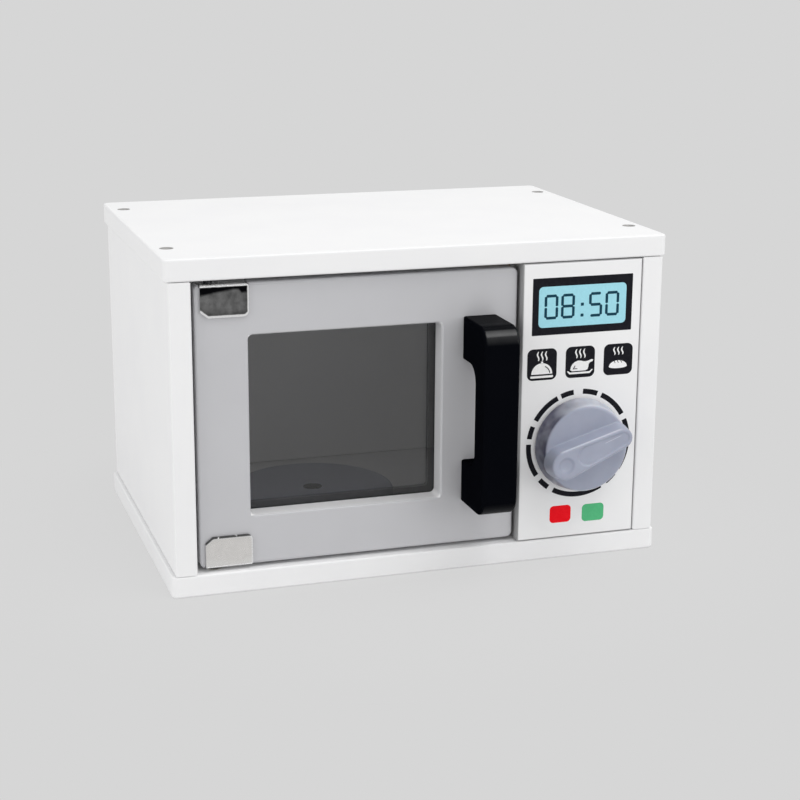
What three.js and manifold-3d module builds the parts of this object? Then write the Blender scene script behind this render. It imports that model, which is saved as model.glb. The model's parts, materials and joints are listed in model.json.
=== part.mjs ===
// Wooden toy microwave: a painted board cabinet, a swinging door with a tinted window, a timer knob
// and a turntable.
// Millimetres, +Z up, +X to the right as seen from the front, the front faces -Y.
// The origin is the middle of the cabinet's underside.

import * as THREE from 'three';
import { mergeVertices } from 'three/addons/utils/BufferGeometryUtils.js';
import Module from 'manifold-3d';

const wasm = await Module();
wasm.setup();

// Cabinet boards
const cabinetWidth = 212;
const cabinetDepth = 150;
const cabinetHeight = 138;
const boardThickness = 9;
const boardCorner = 2.5;
const boardArris = 0.8;
const sideInset = 1.5;
const backInset = 1.5;
const backThickness = 6;
const glueLine = 0.2;

// Wood screws through the top and bottom boards into the side boards
const cabinetScrew = { headRadius: 2.5, headHeight: 1.8, rim: 0.4, shankRadius: 1.4, length: 26, tip: 3 };
const cabinetScrewSunk = 1;
const cabinetScrewFromFront = 25;
const cabinetScrewFromBack = 22;

// Control panel
const panelWidth = 53.2;
const panelGap = 0.3;

// Door board and its running gaps
const doorThickness = 9;
const doorRecess = 3.3;
const doorGapLeft = 1.7;
const doorGapRight = 1.2;
const doorGapTop = 2.1;
const doorGapBottom = 1.5;
const doorCorner = 2.5;
const doorArris = 1.5;

// Window: the widths of the board left round it
const leftStile = 21.3;
const rightStile = 32.6;
const topRail = 21.1;
const bottomRail = 20.7;
const windowCorner = 2;

// Window pane
const paneThickness = 2.5;
const paneOverlap = 7;
const paneCorner = 2;
const paneArris = 0.3;
const paneScrewFromEdge = 3.5;
const paneScrew = { headRadius: 2.3, headHeight: 1.5, shankRadius: 1, length: 7.5, tip: 1.5 };

// Handle
const handleHeight = 79;
const handleWidth = 15;
const handleProjection = 26.5;
const handleFingerDepth = 15;
const handleFoot = 18;
const handleNose = 8;
const handleFillet = 7;
const handleArris = 1;
const handleScrew = { headRadius: 3.4, headHeight: 2, shankRadius: 1.6, length: 22, tip: 3 };

// Hinge clips and the pivot pins riveted in them
const clipWidth = 19.3;
const clipHeight = 13.2;
const clipSheet = 0.9;
const clipBend = 1.1;
const clipFromEdge = 2.2;
const clipChamferAcross = 3;
const clipChamferUp = 2.4;
const clipCorner = 2.2;
const clipSmallCorner = 0.8;
const clipScrewDown = 7;
const clipScrewAcross = 10;
const clipScrew = { headRadius: 2.3, headHeight: 1.5, shankRadius: 1.1, length: 5.5, tip: 1 };
const pivotFromEdge = 6.4;
const pinRadius = 1.7;
const pinReach = 7;
const pinChamfer = 0.4;
const pinHeadRadius = 2.6;
const pinHeadHeight = 1;
const bushWall = 1.2;
const bushBottom = 0.8;

// Magnetic catch
const stopBlockWidth = 16;
const stopBlockDepth = 12;
const stopBlockHeight = 20;
const magnetRadius = 5;
const magnetThickness = 4;
const magnetProud = 0.3;
const magnetChamfer = 0.4;
const strikeRadius = 6;
const strikeThickness = 1.2;
const catchFromEdge = 9;
const catchDown = 10.5;
const strikeScrew = { headRadius: 2, headHeight: 0.9, rim: 0.2, shankRadius: 0.8, length: 5, tip: 1 };

// Timer knob
const knobHeight = 50.6;
const knobBackRadius = 20;
const knobFrontRadius = 18.9;
const knobDepth = 8.4;
const knobEdge = 1.2;
const knobWall = 2;
const knobStandoff = 0.6;
const stemRadius = 4;
const stemPast = 0.3;
const barAngle = THREE.MathUtils.degToRad(21);
const barWideRadius = 6.4;
const barNarrowRadius = 4.4;
const barWideReach = 12.6;
const barNarrowReach = 14.4;
const barRise = 7;
const barDraft = 0.8;
const barEdge = 0.9;
const dimpleRadius = 3.6;
const dimpleDepth = 0.9;
const trackDepth = 0.5;
const trackMargin = 1.5;
const trackFromDimple = 2.2;
const knobWasherRadius = 8;
const knobWasherThickness = 1.2;
const knobScrew = { headRadius: 3.8, headHeight: 2.2, shankRadius: 1.5, length: 13, tip: 2 };

// Turntable
const turntableRadius = 36.5;
const turntableThickness = 5;
const turntableEdge = 1.2;
const turntableFromFront = 79;
const turntableWasherRadius = 7;
const turntableWasherThickness = 1.5;
const turntableScrew = { headRadius: 4, headHeight: 2.4, shankRadius: 2, length: 10, tip: 2 };
const turntableScrewSunk = 0.3;

// Clearances and the overrun of a cutting tool
const restGap = 0.3;
const runningGap = 0.3;
const screwGap = 0.3;
const overrun = 1;

// Facets round a turn, in a quarter turn and across an arris
const roundFacets = 48;
const screwFacets = 16;
const quarterFacets = 4;
const arrisFacets = 2;

// Places worked out from the sizes above
const frontY = -cabinetDepth / 2;
const innerHalfWidth = cabinetWidth / 2 - sideInset - boardThickness;
const sideBoardX = innerHalfWidth + boardThickness / 2;
const floorZ = boardThickness;
const ceilingZ = cabinetHeight - boardThickness;
const backBoardBackY = cabinetDepth / 2 - backInset;

const panelRightX = innerHalfWidth - panelGap;
const panelLeftX = panelRightX - panelWidth;
const panelCentreX = (panelLeftX + panelRightX) / 2;

const doorLeftX = -innerHalfWidth + doorGapLeft;
const doorRightX = panelLeftX - doorGapRight;
const doorBottomZ = floorZ + doorGapBottom;
const doorTopZ = ceilingZ - doorGapTop;
const doorFrontY = frontY + doorRecess;
const doorBackY = doorFrontY + doorThickness;
const windowLeftX = doorLeftX + leftStile;
const windowRightX = doorRightX - rightStile;
const windowBottomZ = doorBottomZ + bottomRail;
const windowTopZ = doorTopZ - topRail;
const windowCentreZ = (windowBottomZ + windowTopZ) / 2;
const hingeX = doorLeftX + pivotFromEdge;
const hingeY = (doorFrontY + doorBackY) / 2;
const handleX = doorRightX - rightStile / 2;
const catchX = doorRightX - catchFromEdge;
const catchZ = doorTopZ - catchDown;
const turntableX = (doorLeftX + doorRightX) / 2;
const turntableY = frontY + turntableFromFront;

// How deep a hinge clip is let into the door's edge: its outer face is flush with the edge
const clipLet = glueLine + clipSheet;

// Solids: closing a mesh, cutting and joining

function solidOf(geometry) {
  const closed = geometry.clone();
  closed.deleteAttribute('normal');
  closed.deleteAttribute('uv');
  const merged = mergeVertices(closed);
  return new wasm.Manifold(new wasm.Mesh({
    numProp: 3,
    vertProperties: new Float32Array(merged.attributes.position.array),
    triVerts: new Uint32Array(merged.index.array),
  }));
}

function geometryOf(solid) {
  const mesh = solid.getMesh();
  const geometry = new THREE.BufferGeometry();
  geometry.setAttribute('position', new THREE.BufferAttribute(mesh.vertProperties, mesh.numProp));
  geometry.setIndex(new THREE.BufferAttribute(mesh.triVerts, 1));
  geometry.computeVertexNormals();
  return geometry;
}

function cut(geometry, tools) {
  return geometryOf(tools.reduce((solid, tool) => solid.subtract(solidOf(tool)), solidOf(geometry)));
}

function join(geometries) {
  return geometryOf(geometries.map(solidOf).reduce((solid, other) => solid.add(other)));
}

function common(geometry, other) {
  return geometryOf(solidOf(geometry).intersect(solidOf(other)));
}

// Outlines: a rectangle between two corners, each of its own corners rounded

function roundedRectangle(left, bottom, right, top, radius, path = new THREE.Shape()) {
  path.moveTo(left + radius, bottom);
  path.lineTo(right - radius, bottom);
  path.absarc(right - radius, bottom + radius, radius, -Math.PI / 2, 0, false);
  path.lineTo(right, top - radius);
  path.absarc(right - radius, top - radius, radius, 0, Math.PI / 2, false);
  path.lineTo(left + radius, top);
  path.absarc(left + radius, top - radius, radius, Math.PI / 2, Math.PI, false);
  path.lineTo(left, bottom + radius);
  path.absarc(left + radius, bottom + radius, radius, Math.PI, Math.PI * 1.5, false);
  return path;
}

// A flat piece with every edge rounded by its arris: thickness along +Z from zero

function slab(outlineInset, thickness, arris) {
  const geometry = new THREE.ExtrudeGeometry(outlineInset, {
    depth: thickness - 2 * arris,
    bevelThickness: arris,
    bevelSize: arris,
    bevelSegments: arrisFacets,
    curveSegments: quarterFacets,
  });
  return geometry.translate(0, 0, arris);
}

function prism(outline, depth, curveSegments = quarterFacets) {
  return new THREE.ExtrudeGeometry(outline, { depth, bevelEnabled: false, curveSegments });
}

function board(width, height, thickness, corner, arris) {
  const halfWidth = width / 2 - arris;
  const halfHeight = height / 2 - arris;
  const outline = roundedRectangle(-halfWidth, -halfHeight, halfWidth, halfHeight, corner - arris);
  return slab(outline, thickness, arris);
}

// A board on end: its long edges rounded, its ends left square where they are glued

function upright(depth, height) {
  const half = boardThickness / 2;
  const outline = roundedRectangle(-half, -depth / 2, half, depth / 2, boardArris);
  return prism(outline, height);
}

// Turned pieces: a profile of radius and height, turned round the Z axis

function turned(profile, facets = screwFacets) {
  const points = profile.map(([radius, height]) => new THREE.Vector2(radius, height));
  return new THREE.LatheGeometry(points, facets).rotateX(Math.PI / 2);
}

function rod(radius, bottom, top, facets = screwFacets) {
  return turned([[0, bottom], [radius, bottom], [radius, top], [0, top]], facets);
}

function ring(innerRadius, outerRadius, bottom, top, facets = screwFacets) {
  const start = [innerRadius, bottom];
  return turned([start, [outerRadius, bottom], [outerRadius, top], [innerRadius, top], start], facets);
}

// A screw with a sunk conical head: the head's flat top is at zero, the tip points to -Z

function sunkScrew({ headRadius, headHeight, rim, shankRadius, length, tip }) {
  return turned([
    [0, -length],
    [shankRadius, tip - length],
    [shankRadius, -headHeight],
    [headRadius, -rim],
    [headRadius, 0],
    [0, 0],
  ]);
}

function sunkScrewHole({ headRadius, headHeight, rim, shankRadius, length }, sunk) {
  return turned([
    [0, -length - screwGap],
    [shankRadius + screwGap, -length - screwGap],
    [shankRadius + screwGap, -headHeight],
    [headRadius + screwGap, -rim],
    [headRadius + screwGap, sunk + overrun],
    [0, sunk + overrun],
  ]);
}

// A screw with a domed head that rests on the surface at zero

function domeScrew({ headRadius, headHeight, shankRadius, length, tip }) {
  const dome = [];
  for (let step = 0; step <= quarterFacets; step += 1) {
    const turn = (step / quarterFacets) * Math.PI / 2;
    dome.push([headRadius * Math.cos(turn), headHeight * Math.sin(turn)]);
  }
  dome[quarterFacets][0] = 0;
  return turned([[0, -length], [shankRadius, tip - length], [shankRadius, 0], ...dome]);
}

function domeScrewHole({ shankRadius, length }) {
  return rod(shankRadius + screwGap, -length - screwGap, overrun);
}

// Directions: what lies along +Z is turned to face the front or the back, and a board is stood up

const towardFront = (geometry) => geometry.rotateX(Math.PI / 2);
const towardBack = (geometry) => geometry.rotateX(-Math.PI / 2);
const upsideDown = (geometry) => geometry.rotateX(Math.PI);

// Finishes

const finish = (color, roughness, metalness = 0, more = {}) => (
  () => new THREE.MeshStandardMaterial({ color, roughness, metalness, ...more })
);
const whitePaint = finish(0xf0f0f0, 0.5);
const greyPaint = finish(0xb9bbbd, 0.45);
const blackPaint = finish(0x121316, 0.35);
const tintedSheet = finish(0x3c3c3e, 0.08, 0, { transparent: true, opacity: 0.75 });
const nickel = finish(0xcfcdc8, 0.2, 1);
const zincSteel = finish(0x9fa2a6, 0.35, 1);
const nylon = finish(0xe6e3da, 0.5);
const frostedPlastic = finish(0x9ba0b0, 0.4);
const rawWood = finish(0xd9bd8f, 0.7);
const discPaint = finish(0xa6a9b6, 0.5);
const blackSteel = finish(0x26272b, 0.45, 1);
const magnetGrey = finish(0x6b6d70, 0.4, 0.8);

function place(parent, name, geometry, material, x = 0, y = 0, z = 0) {
  const mesh = new THREE.Mesh(geometry, material());
  mesh.name = name;
  mesh.position.set(x, y, z);
  parent.add(mesh);
  return mesh;
}

const microwave = new THREE.Group();

// Cabinet

function cabinetScrewPlaces() {
  const places = [];
  for (const [side, x] of [['left', -sideBoardX], ['right', sideBoardX]]) {
    places.push({ name: `front_${side}`, x, y: frontY + cabinetScrewFromFront });
    places.push({ name: `rear_${side}`, x, y: cabinetDepth / 2 - cabinetScrewFromBack });
  }
  return places;
}

// A bush stops short of its hole's blind end by the wall at its own bottom
const bushRadius = pinRadius + runningGap + bushWall;
const bushHeight = (doorGap) => pinReach - clipLet - doorGap + runningGap + bushBottom;

function pivotBush(doorGap) {
  const bore = pinRadius + runningGap;
  const height = bushHeight(doorGap);
  return turned([
    [bore, 0],
    [bushRadius, 0],
    [bushRadius, height],
    [0, height],
    [0, height - bushBottom],
    [bore, height - bushBottom],
    [bore, 0],
  ]);
}

function bushHole(doorGap) {
  return rod(bushRadius + restGap, -overrun, bushHeight(doorGap) + restGap);
}

function screwedBoard(screwHeadZ, pointing) {
  const plate = board(cabinetWidth, cabinetDepth, boardThickness, boardCorner, boardArris);
  const tools = cabinetScrewPlaces().map(({ x, y }) => {
    const hole = sunkScrewHole(cabinetScrew, cabinetScrewSunk);
    return (pointing < 0 ? hole : upsideDown(hole)).translate(x, y, screwHeadZ);
  });
  return { plate, tools };
}

function addCabinet(parent) {
  const topHeadZ = boardThickness - cabinetScrewSunk;
  const top = screwedBoard(topHeadZ, -1);
  top.tools.push(bushHole(doorGapTop).translate(hingeX, hingeY, 0));
  place(parent, 'top_board', cut(top.plate, top.tools), whitePaint, 0, 0, ceilingZ);

  const bottom = screwedBoard(cabinetScrewSunk, 1);
  bottom.tools.push(upsideDown(bushHole(doorGapBottom)).translate(hingeX, hingeY, boardThickness));
  const spindle = domeScrewHole(turntableScrew);
  bottom.tools.push(spindle.translate(turntableX, turntableY, turntableSeatZ));
  place(parent, 'bottom_board', cut(bottom.plate, bottom.tools), whitePaint);

  const sideHeight = ceilingZ - floorZ - 2 * glueLine;
  const sideDepth = cabinetDepth - backInset;
  const sideY = frontY + sideDepth / 2;
  for (const [side, x] of [['left', -sideBoardX], ['right', sideBoardX]]) {
    const standing = upright(sideDepth, sideHeight).translate(x, sideY, floorZ + glueLine);
    const holes = [];
    for (const { x: screwX, y } of cabinetScrewPlaces()) {
      holes.push(sunkScrewHole(cabinetScrew, 0).translate(screwX, y, cabinetHeight - cabinetScrewSunk));
      holes.push(upsideDown(sunkScrewHole(cabinetScrew, 0)).translate(screwX, y, cabinetScrewSunk));
    }
    place(parent, `${side}_side_board`, cut(standing, holes), whitePaint);
  }

  const backWidth = 2 * (innerHalfWidth - glueLine);
  const back = towardFront(board(backWidth, sideHeight, backThickness, boardArris, boardArris));
  place(parent, 'back_board', back, whitePaint, 0, backBoardBackY, (floorZ + ceilingZ) / 2);

  const headZ = cabinetHeight - cabinetScrewSunk;
  for (const { name, x, y } of cabinetScrewPlaces()) {
    place(parent, `top_screw_${name}`, sunkScrew(cabinetScrew), zincSteel, x, y, headZ);
    const fromBelow = upsideDown(sunkScrew(cabinetScrew));
    place(parent, `bottom_screw_${name}`, fromBelow, zincSteel, x, y, cabinetScrewSunk);
  }
  place(parent, 'upper_pivot_bush', pivotBush(doorGapTop), nylon, hingeX, hingeY, ceilingZ);
  place(parent, 'lower_pivot_bush', upsideDown(pivotBush(doorGapBottom)), nylon, hingeX, hingeY, floorZ);
}

function addControlPanel(parent) {
  const panelHeight = ceilingZ - floorZ - 2 * panelGap;
  const plate = towardBack(board(panelWidth, panelHeight, boardThickness, boardArris + panelGap, boardArris));
  plate.translate(panelCentreX, frontY, (floorZ + ceilingZ) / 2);
  const bore = towardBack(rod(stemRadius + runningGap, -overrun, boardThickness + overrun, roundFacets));
  bore.translate(panelCentreX, frontY, knobHeight);
  place(parent, 'control_panel', cut(plate, [bore]), whitePaint);
}

// The door's strike plate meets the magnet, which stands a little proud of its block

function addCatch(parent) {
  const magnetFrontY = doorBackY + glueLine + strikeThickness + restGap;
  const blockFrontY = magnetFrontY + magnetProud;
  const block = towardBack(board(stopBlockWidth, stopBlockHeight, stopBlockDepth, boardArris, boardArris));
  const blockRightX = panelLeftX - glueLine;
  block.translate(blockRightX - stopBlockWidth / 2, blockFrontY, ceilingZ - glueLine - stopBlockHeight / 2);
  const pocket = towardBack(rod(magnetRadius + restGap, -overrun, magnetThickness));
  pocket.translate(catchX, blockFrontY, catchZ);
  place(parent, 'door_stop_block', cut(block, [pocket]), rawWood);

  const magnet = towardBack(turned([
    [0, 0],
    [magnetRadius - magnetChamfer, 0],
    [magnetRadius, magnetChamfer],
    [magnetRadius, magnetThickness],
    [0, magnetThickness],
  ]));
  place(parent, 'catch_magnet', magnet, magnetGrey, catchX, magnetFrontY, catchZ);
}

// Turntable: a washer, a disc that turns and a screw that holds it down, its head sunk below the disc's face

const turntableWasherTopZ = floorZ + glueLine + turntableWasherThickness;
const discBottomZ = turntableWasherTopZ + runningGap;
const turntableSeatHeight = turntableThickness - turntableScrewSunk - turntableScrew.headHeight - runningGap;
const turntableSeatZ = discBottomZ + turntableSeatHeight + runningGap;

function turntableDisc() {
  const hole = turntableScrew.shankRadius + runningGap;
  const recess = turntableScrew.headRadius + runningGap;
  const profile = [[hole, 0]];
  for (const [centre, from] of [[turntableEdge, -Math.PI / 2], [turntableThickness - turntableEdge, 0]]) {
    for (let step = 0; step <= quarterFacets; step += 1) {
      const turn = from + (step / quarterFacets) * Math.PI / 2;
      const reach = turntableRadius - turntableEdge + turntableEdge * Math.cos(turn);
      profile.push([reach, centre + turntableEdge * Math.sin(turn)]);
    }
  }
  profile.push([recess, turntableThickness], [recess, turntableSeatHeight], [hole, turntableSeatHeight], [hole, 0]);
  return turned(profile, roundFacets);
}

function addTurntable(parent) {
  const spindleHole = turntableScrew.shankRadius + screwGap;
  const washer = ring(spindleHole, turntableWasherRadius, 0, turntableWasherThickness);
  place(parent, 'turntable_washer', washer, nylon, turntableX, turntableY, floorZ + glueLine);
  const screw = domeScrew(turntableScrew);
  place(parent, 'turntable_screw', screw, blackSteel, turntableX, turntableY, turntableSeatZ);
  place(parent, 'turntable_disc', turntableDisc(), discPaint, turntableX, turntableY, discBottomZ);
}

// Door: every piece is placed from the hinge's axis, which is the group's own Z axis

const fromHinge = (x) => x - hingeX;
const handleScrewPlaces = [
  { name: 'upper', z: windowCentreZ + (handleHeight - handleFoot) / 2 },
  { name: 'lower', z: windowCentreZ - (handleHeight - handleFoot) / 2 },
];
const paneLeftX = windowLeftX - paneOverlap;
const paneRightX = windowRightX + paneOverlap;
const paneBottomZ = windowBottomZ - paneOverlap;
const paneTopZ = windowTopZ + paneOverlap;
const paneScrewPlaces = [
  { name: 'lower_left', x: paneLeftX + paneScrewFromEdge, z: paneBottomZ + paneScrewFromEdge },
  { name: 'lower_right', x: paneRightX - paneScrewFromEdge, z: paneBottomZ + paneScrewFromEdge },
  { name: 'upper_left', x: paneLeftX + paneScrewFromEdge, z: paneTopZ - paneScrewFromEdge },
  { name: 'upper_right', x: paneRightX - paneScrewFromEdge, z: paneTopZ - paneScrewFromEdge },
];

// The two hinge ends of the door: the floor of the rebate that the clip wraps and the way out of the door
const hingeEnds = [
  { name: 'upper', seatZ: doorTopZ - clipLet, out: 1 },
  { name: 'lower', seatZ: doorBottomZ + clipLet, out: -1 },
];
const halfDoor = doorThickness / 2;
const paneBackY = halfDoor + restGap + paneThickness;
const strikeFaceY = halfDoor + glueLine + strikeThickness;
const clipLeft = fromHinge(doorLeftX + clipFromEdge);
const clipRight = clipLeft + clipWidth;

function doorFrame() {
  const inset = doorArris;
  const outline = roundedRectangle(
    fromHinge(doorLeftX) + inset, doorBottomZ + inset,
    fromHinge(doorRightX) - inset, doorTopZ - inset,
    doorCorner - inset,
  );
  outline.holes.push(roundedRectangle(
    fromHinge(windowLeftX) - inset, windowBottomZ - inset,
    fromHinge(windowRightX) + inset, windowTopZ + inset,
    windowCorner + inset, new THREE.Path(),
  ));
  const frame = towardFront(slab(outline, doorThickness, doorArris)).translate(0, halfDoor, 0);
  const tools = [];
  for (const { z } of handleScrewPlaces) {
    const through = rod(handleScrew.shankRadius + screwGap, -doorThickness - overrun, overrun);
    tools.push(towardBack(through).translate(fromHinge(handleX), halfDoor, z));
  }
  for (const { x, z } of paneScrewPlaces) {
    tools.push(towardBack(domeScrewHole(paneScrew)).translate(fromHinge(x), paneBackY + glueLine, z));
  }
  tools.push(towardBack(sunkScrewHole(strikeScrew, 0)).translate(fromHinge(catchX), strikeFaceY, catchZ));
  for (const { seatZ, out } of hingeEnds) {
    tools.push(clipRebate(seatZ, out));
    const pocketDepth = pinHeadHeight + restGap;
    const pocket = rod(pinHeadRadius + restGap, -pocketDepth, overrun);
    tools.push((out > 0 ? pocket : upsideDown(pocket)).translate(0, 0, seatZ));
    const screwHole = towardBack(domeScrewHole(clipScrew));
    tools.push(screwHole.translate(clipScrewX, clipScrewY, clipScrewZ(seatZ, out)));
  }
  return cut(frame, tools);
}

function clipRebate(seatZ, out) {
  const height = clipLet + overrun;
  const block = new THREE.BoxGeometry(clipWidth + 2 * restGap, doorThickness + 2 * overrun, height);
  return block.translate((clipLeft + clipRight) / 2, 0, seatZ + (out * height) / 2);
}

// A folded sheet clip: a channel let into the door's edge, trimmed to its face outline
const clipOuterY = halfDoor + clipLet;
const clipScrewX = clipLeft + clipScrewAcross;
const clipScrewY = clipOuterY + glueLine;
const clipScrewZ = (seatZ, out) => seatZ + out * (clipLet - clipScrewDown);

function clipChannel(seatZ, out) {
  const web = seatZ + out * clipLet;
  const lip = web - out * clipHeight;
  const innerY = halfDoor + glueLine;
  const innerWeb = seatZ + out * glueLine;
  const section = new THREE.Shape();
  section.moveTo(-clipOuterY, lip);
  section.lineTo(-clipOuterY, web - out * clipBend);
  section.quadraticCurveTo(-clipOuterY, web, clipBend - clipOuterY, web);
  section.lineTo(clipOuterY - clipBend, web);
  section.quadraticCurveTo(clipOuterY, web, clipOuterY, web - out * clipBend);
  section.lineTo(clipOuterY, lip);
  section.lineTo(innerY, lip);
  section.lineTo(innerY, innerWeb);
  section.lineTo(-innerY, innerWeb);
  section.lineTo(-innerY, lip);
  const channel = prism(section, clipWidth);
  return channel.rotateX(Math.PI / 2).rotateZ(Math.PI / 2).translate(clipLeft, 0, 0);
}

function clipFace(seatZ, out) {
  const web = seatZ + out * clipLet;
  const lip = web - out * clipHeight;
  const outline = new THREE.Shape();
  outline.moveTo(clipLeft, web);
  outline.lineTo(clipLeft, lip + out * clipChamferUp);
  outline.lineTo(clipLeft + clipChamferAcross, lip);
  outline.lineTo(clipRight - clipCorner, lip);
  outline.quadraticCurveTo(clipRight, lip, clipRight, lip + out * clipCorner);
  outline.lineTo(clipRight, web - out * clipSmallCorner);
  outline.lineTo(clipRight - clipSmallCorner, web);
  const depth = 2 * (clipOuterY + overrun);
  return towardFront(prism(outline, depth)).translate(0, depth / 2, 0);
}

function hingeClip(seatZ, out) {
  const clip = common(clipChannel(seatZ, out), clipFace(seatZ, out));
  const pinHole = rod(pinRadius + glueLine, -overrun, clipSheet + overrun);
  const screwHole = rod(clipScrew.shankRadius + screwGap, -clipSheet - overrun, overrun);
  return cut(clip, [
    (out > 0 ? pinHole : upsideDown(pinHole)).translate(0, 0, seatZ + out * glueLine),
    towardBack(screwHole).translate(clipScrewX, clipOuterY, clipScrewZ(seatZ, out)),
  ]);
}

// The pin's head lies under the clip and its shank reaches through the clip into the bush

function pivotPin() {
  return turned([
    [0, -pinHeadHeight],
    [pinHeadRadius, -pinHeadHeight],
    [pinHeadRadius, 0],
    [pinRadius, 0],
    [pinRadius, pinReach - pinChamfer],
    [pinRadius - pinChamfer, pinReach],
    [0, pinReach],
  ]);
}

// The handle's side outline, drawn in by its arris: reach from the door across, height up

function handleOutline(inset) {
  const reach = handleProjection - inset;
  const top = handleHeight / 2 - inset;
  const nose = handleNose - inset;
  const finger = handleFingerDepth + inset;
  const footEdge = handleHeight / 2 - handleFoot + inset;
  const fillet = handleFillet + inset;
  const outline = new THREE.Shape();
  outline.moveTo(inset, -top);
  outline.lineTo(reach - nose, -top);
  outline.absarc(reach - nose, nose - top, nose, -Math.PI / 2, 0, false);
  outline.lineTo(reach, top - nose);
  outline.absarc(reach - nose, top - nose, nose, 0, Math.PI / 2, false);
  outline.lineTo(inset, top);
  outline.lineTo(inset, footEdge);
  outline.lineTo(finger - fillet, footEdge);
  outline.absarc(finger - fillet, footEdge - fillet, fillet, Math.PI / 2, 0, true);
  outline.lineTo(finger, fillet - footEdge);
  outline.absarc(finger - fillet, fillet - footEdge, fillet, 0, -Math.PI / 2, true);
  outline.lineTo(inset, -footEdge);
  return outline;
}

function doorHandle() {
  const block = slab(handleOutline(handleArris), handleWidth, handleArris).translate(0, 0, -handleWidth / 2);
  const standing = block.rotateX(Math.PI / 2).rotateZ(-Math.PI / 2);
  standing.translate(fromHinge(handleX), -halfDoor - restGap, windowCentreZ);
  const pilots = handleScrewPlaces.map(({ z }) => (
    towardBack(domeScrewHole(handleScrew)).translate(fromHinge(handleX), halfDoor + glueLine, z)
  ));
  return cut(standing, pilots);
}

function doorPane() {
  const inset = paneArris;
  const outline = roundedRectangle(
    fromHinge(paneLeftX) + inset, paneBottomZ + inset,
    fromHinge(paneRightX) - inset, paneTopZ - inset,
    paneCorner - inset,
  );
  const sheet = towardFront(slab(outline, paneThickness, paneArris)).translate(0, paneBackY, 0);
  const holes = paneScrewPlaces.map(({ x, z }) => {
    const hole = rod(paneScrew.shankRadius + screwGap, -paneThickness - overrun, overrun);
    return towardBack(hole).translate(fromHinge(x), paneBackY, z);
  });
  return cut(sheet, holes);
}

function addDoor(parent) {
  const door = new THREE.Group();
  door.position.set(hingeX, hingeY, 0);
  parent.add(door);
  place(door, 'door_frame', doorFrame(), greyPaint);
  place(door, 'door_pane', doorPane(), tintedSheet);
  place(door, 'door_handle', doorHandle(), blackPaint);
  for (const { name, x, z } of paneScrewPlaces) {
    const screw = towardBack(domeScrew(paneScrew));
    place(door, `pane_screw_${name}`, screw, zincSteel, fromHinge(x), paneBackY + glueLine, z);
  }
  for (const { name, z } of handleScrewPlaces) {
    const screw = towardBack(domeScrew(handleScrew));
    place(door, `handle_screw_${name}`, screw, zincSteel, fromHinge(handleX), halfDoor + glueLine, z);
  }
  for (const { name, seatZ, out } of hingeEnds) {
    place(door, `${name}_hinge_clip`, hingeClip(seatZ, out), nickel);
    const pin = out > 0 ? pivotPin() : upsideDown(pivotPin());
    place(door, `${name}_pivot_pin`, pin, zincSteel, 0, 0, seatZ);
    const screw = towardBack(domeScrew(clipScrew));
    place(door, `${name}_clip_screw`, screw, zincSteel, clipScrewX, clipScrewY, clipScrewZ(seatZ, out));
  }
  const strikeHole = sunkScrewHole(strikeScrew, 0).translate(0, 0, strikeThickness);
  const strike = towardBack(cut(rod(strikeRadius, 0, strikeThickness), [strikeHole]));
  place(door, 'strike_plate', strike, zincSteel, fromHinge(catchX), halfDoor + glueLine, catchZ);
  const strikePin = towardBack(sunkScrew(strikeScrew));
  place(door, 'strike_screw', strikePin, zincSteel, fromHinge(catchX), strikeFaceY, catchZ);
}

// Timer knob: a hollow moulded disc with a stem and a pointer bar, drawn with +Z out of the panel

function knobShell() {
  const back = knobStandoff;
  const front = knobStandoff + knobDepth;
  const profile = [
    [0, -boardThickness - stemPast],
    [stemRadius, -boardThickness - stemPast],
    [stemRadius, front - knobWall],
    [knobFrontRadius - knobWall, front - knobWall],
    [knobBackRadius - knobWall, back],
    [knobBackRadius, back],
  ];
  for (let step = 0; step <= quarterFacets; step += 1) {
    const turn = (step / quarterFacets) * Math.PI / 2;
    profile.push([
      knobFrontRadius - knobEdge + knobEdge * Math.cos(turn),
      front - knobEdge + knobEdge * Math.sin(turn),
    ]);
  }
  profile.push([0, front]);
  return turned(profile, roundFacets);
}

// The bar's plan: two round ends and the two straight lines that touch both

function barOutline(wideRadius, narrowRadius, wideReach = barWideReach, narrowReach = barNarrowReach) {
  const lean = Math.asin((wideRadius - narrowRadius) / (wideReach + narrowReach));
  const outline = new THREE.Shape();
  outline.absarc(narrowReach, 0, narrowRadius, lean - Math.PI / 2, Math.PI / 2 - lean, false);
  outline.absarc(-wideReach, 0, wideRadius, Math.PI / 2 - lean, Math.PI * 1.5 + lean, false);
  return outline;
}

// The draft widens the bar toward its root, and the edge rounds its front

function pointerBar(front) {
  const layers = [[barDraft, 0], [0, barRise - barEdge]];
  for (let step = 1; step <= quarterFacets; step += 1) {
    const turn = (step / quarterFacets) * Math.PI / 2;
    layers.push([barEdge * (Math.cos(turn) - 1), barRise - barEdge + barEdge * Math.sin(turn)]);
  }
  const rings = layers.map(([grow, height]) => {
    const points = barOutline(barWideRadius + grow, barNarrowRadius + grow).getPoints(2 * quarterFacets);
    return points.slice(0, -1).map(({ x, y }) => [x, y, front + height]);
  });
  rings.unshift(rings[0].map(([x, y]) => [x, y, front - knobWall / 2]));
  return loft(rings);
}

// Skin through rings of as many points each, with a flat fan over each end

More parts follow.
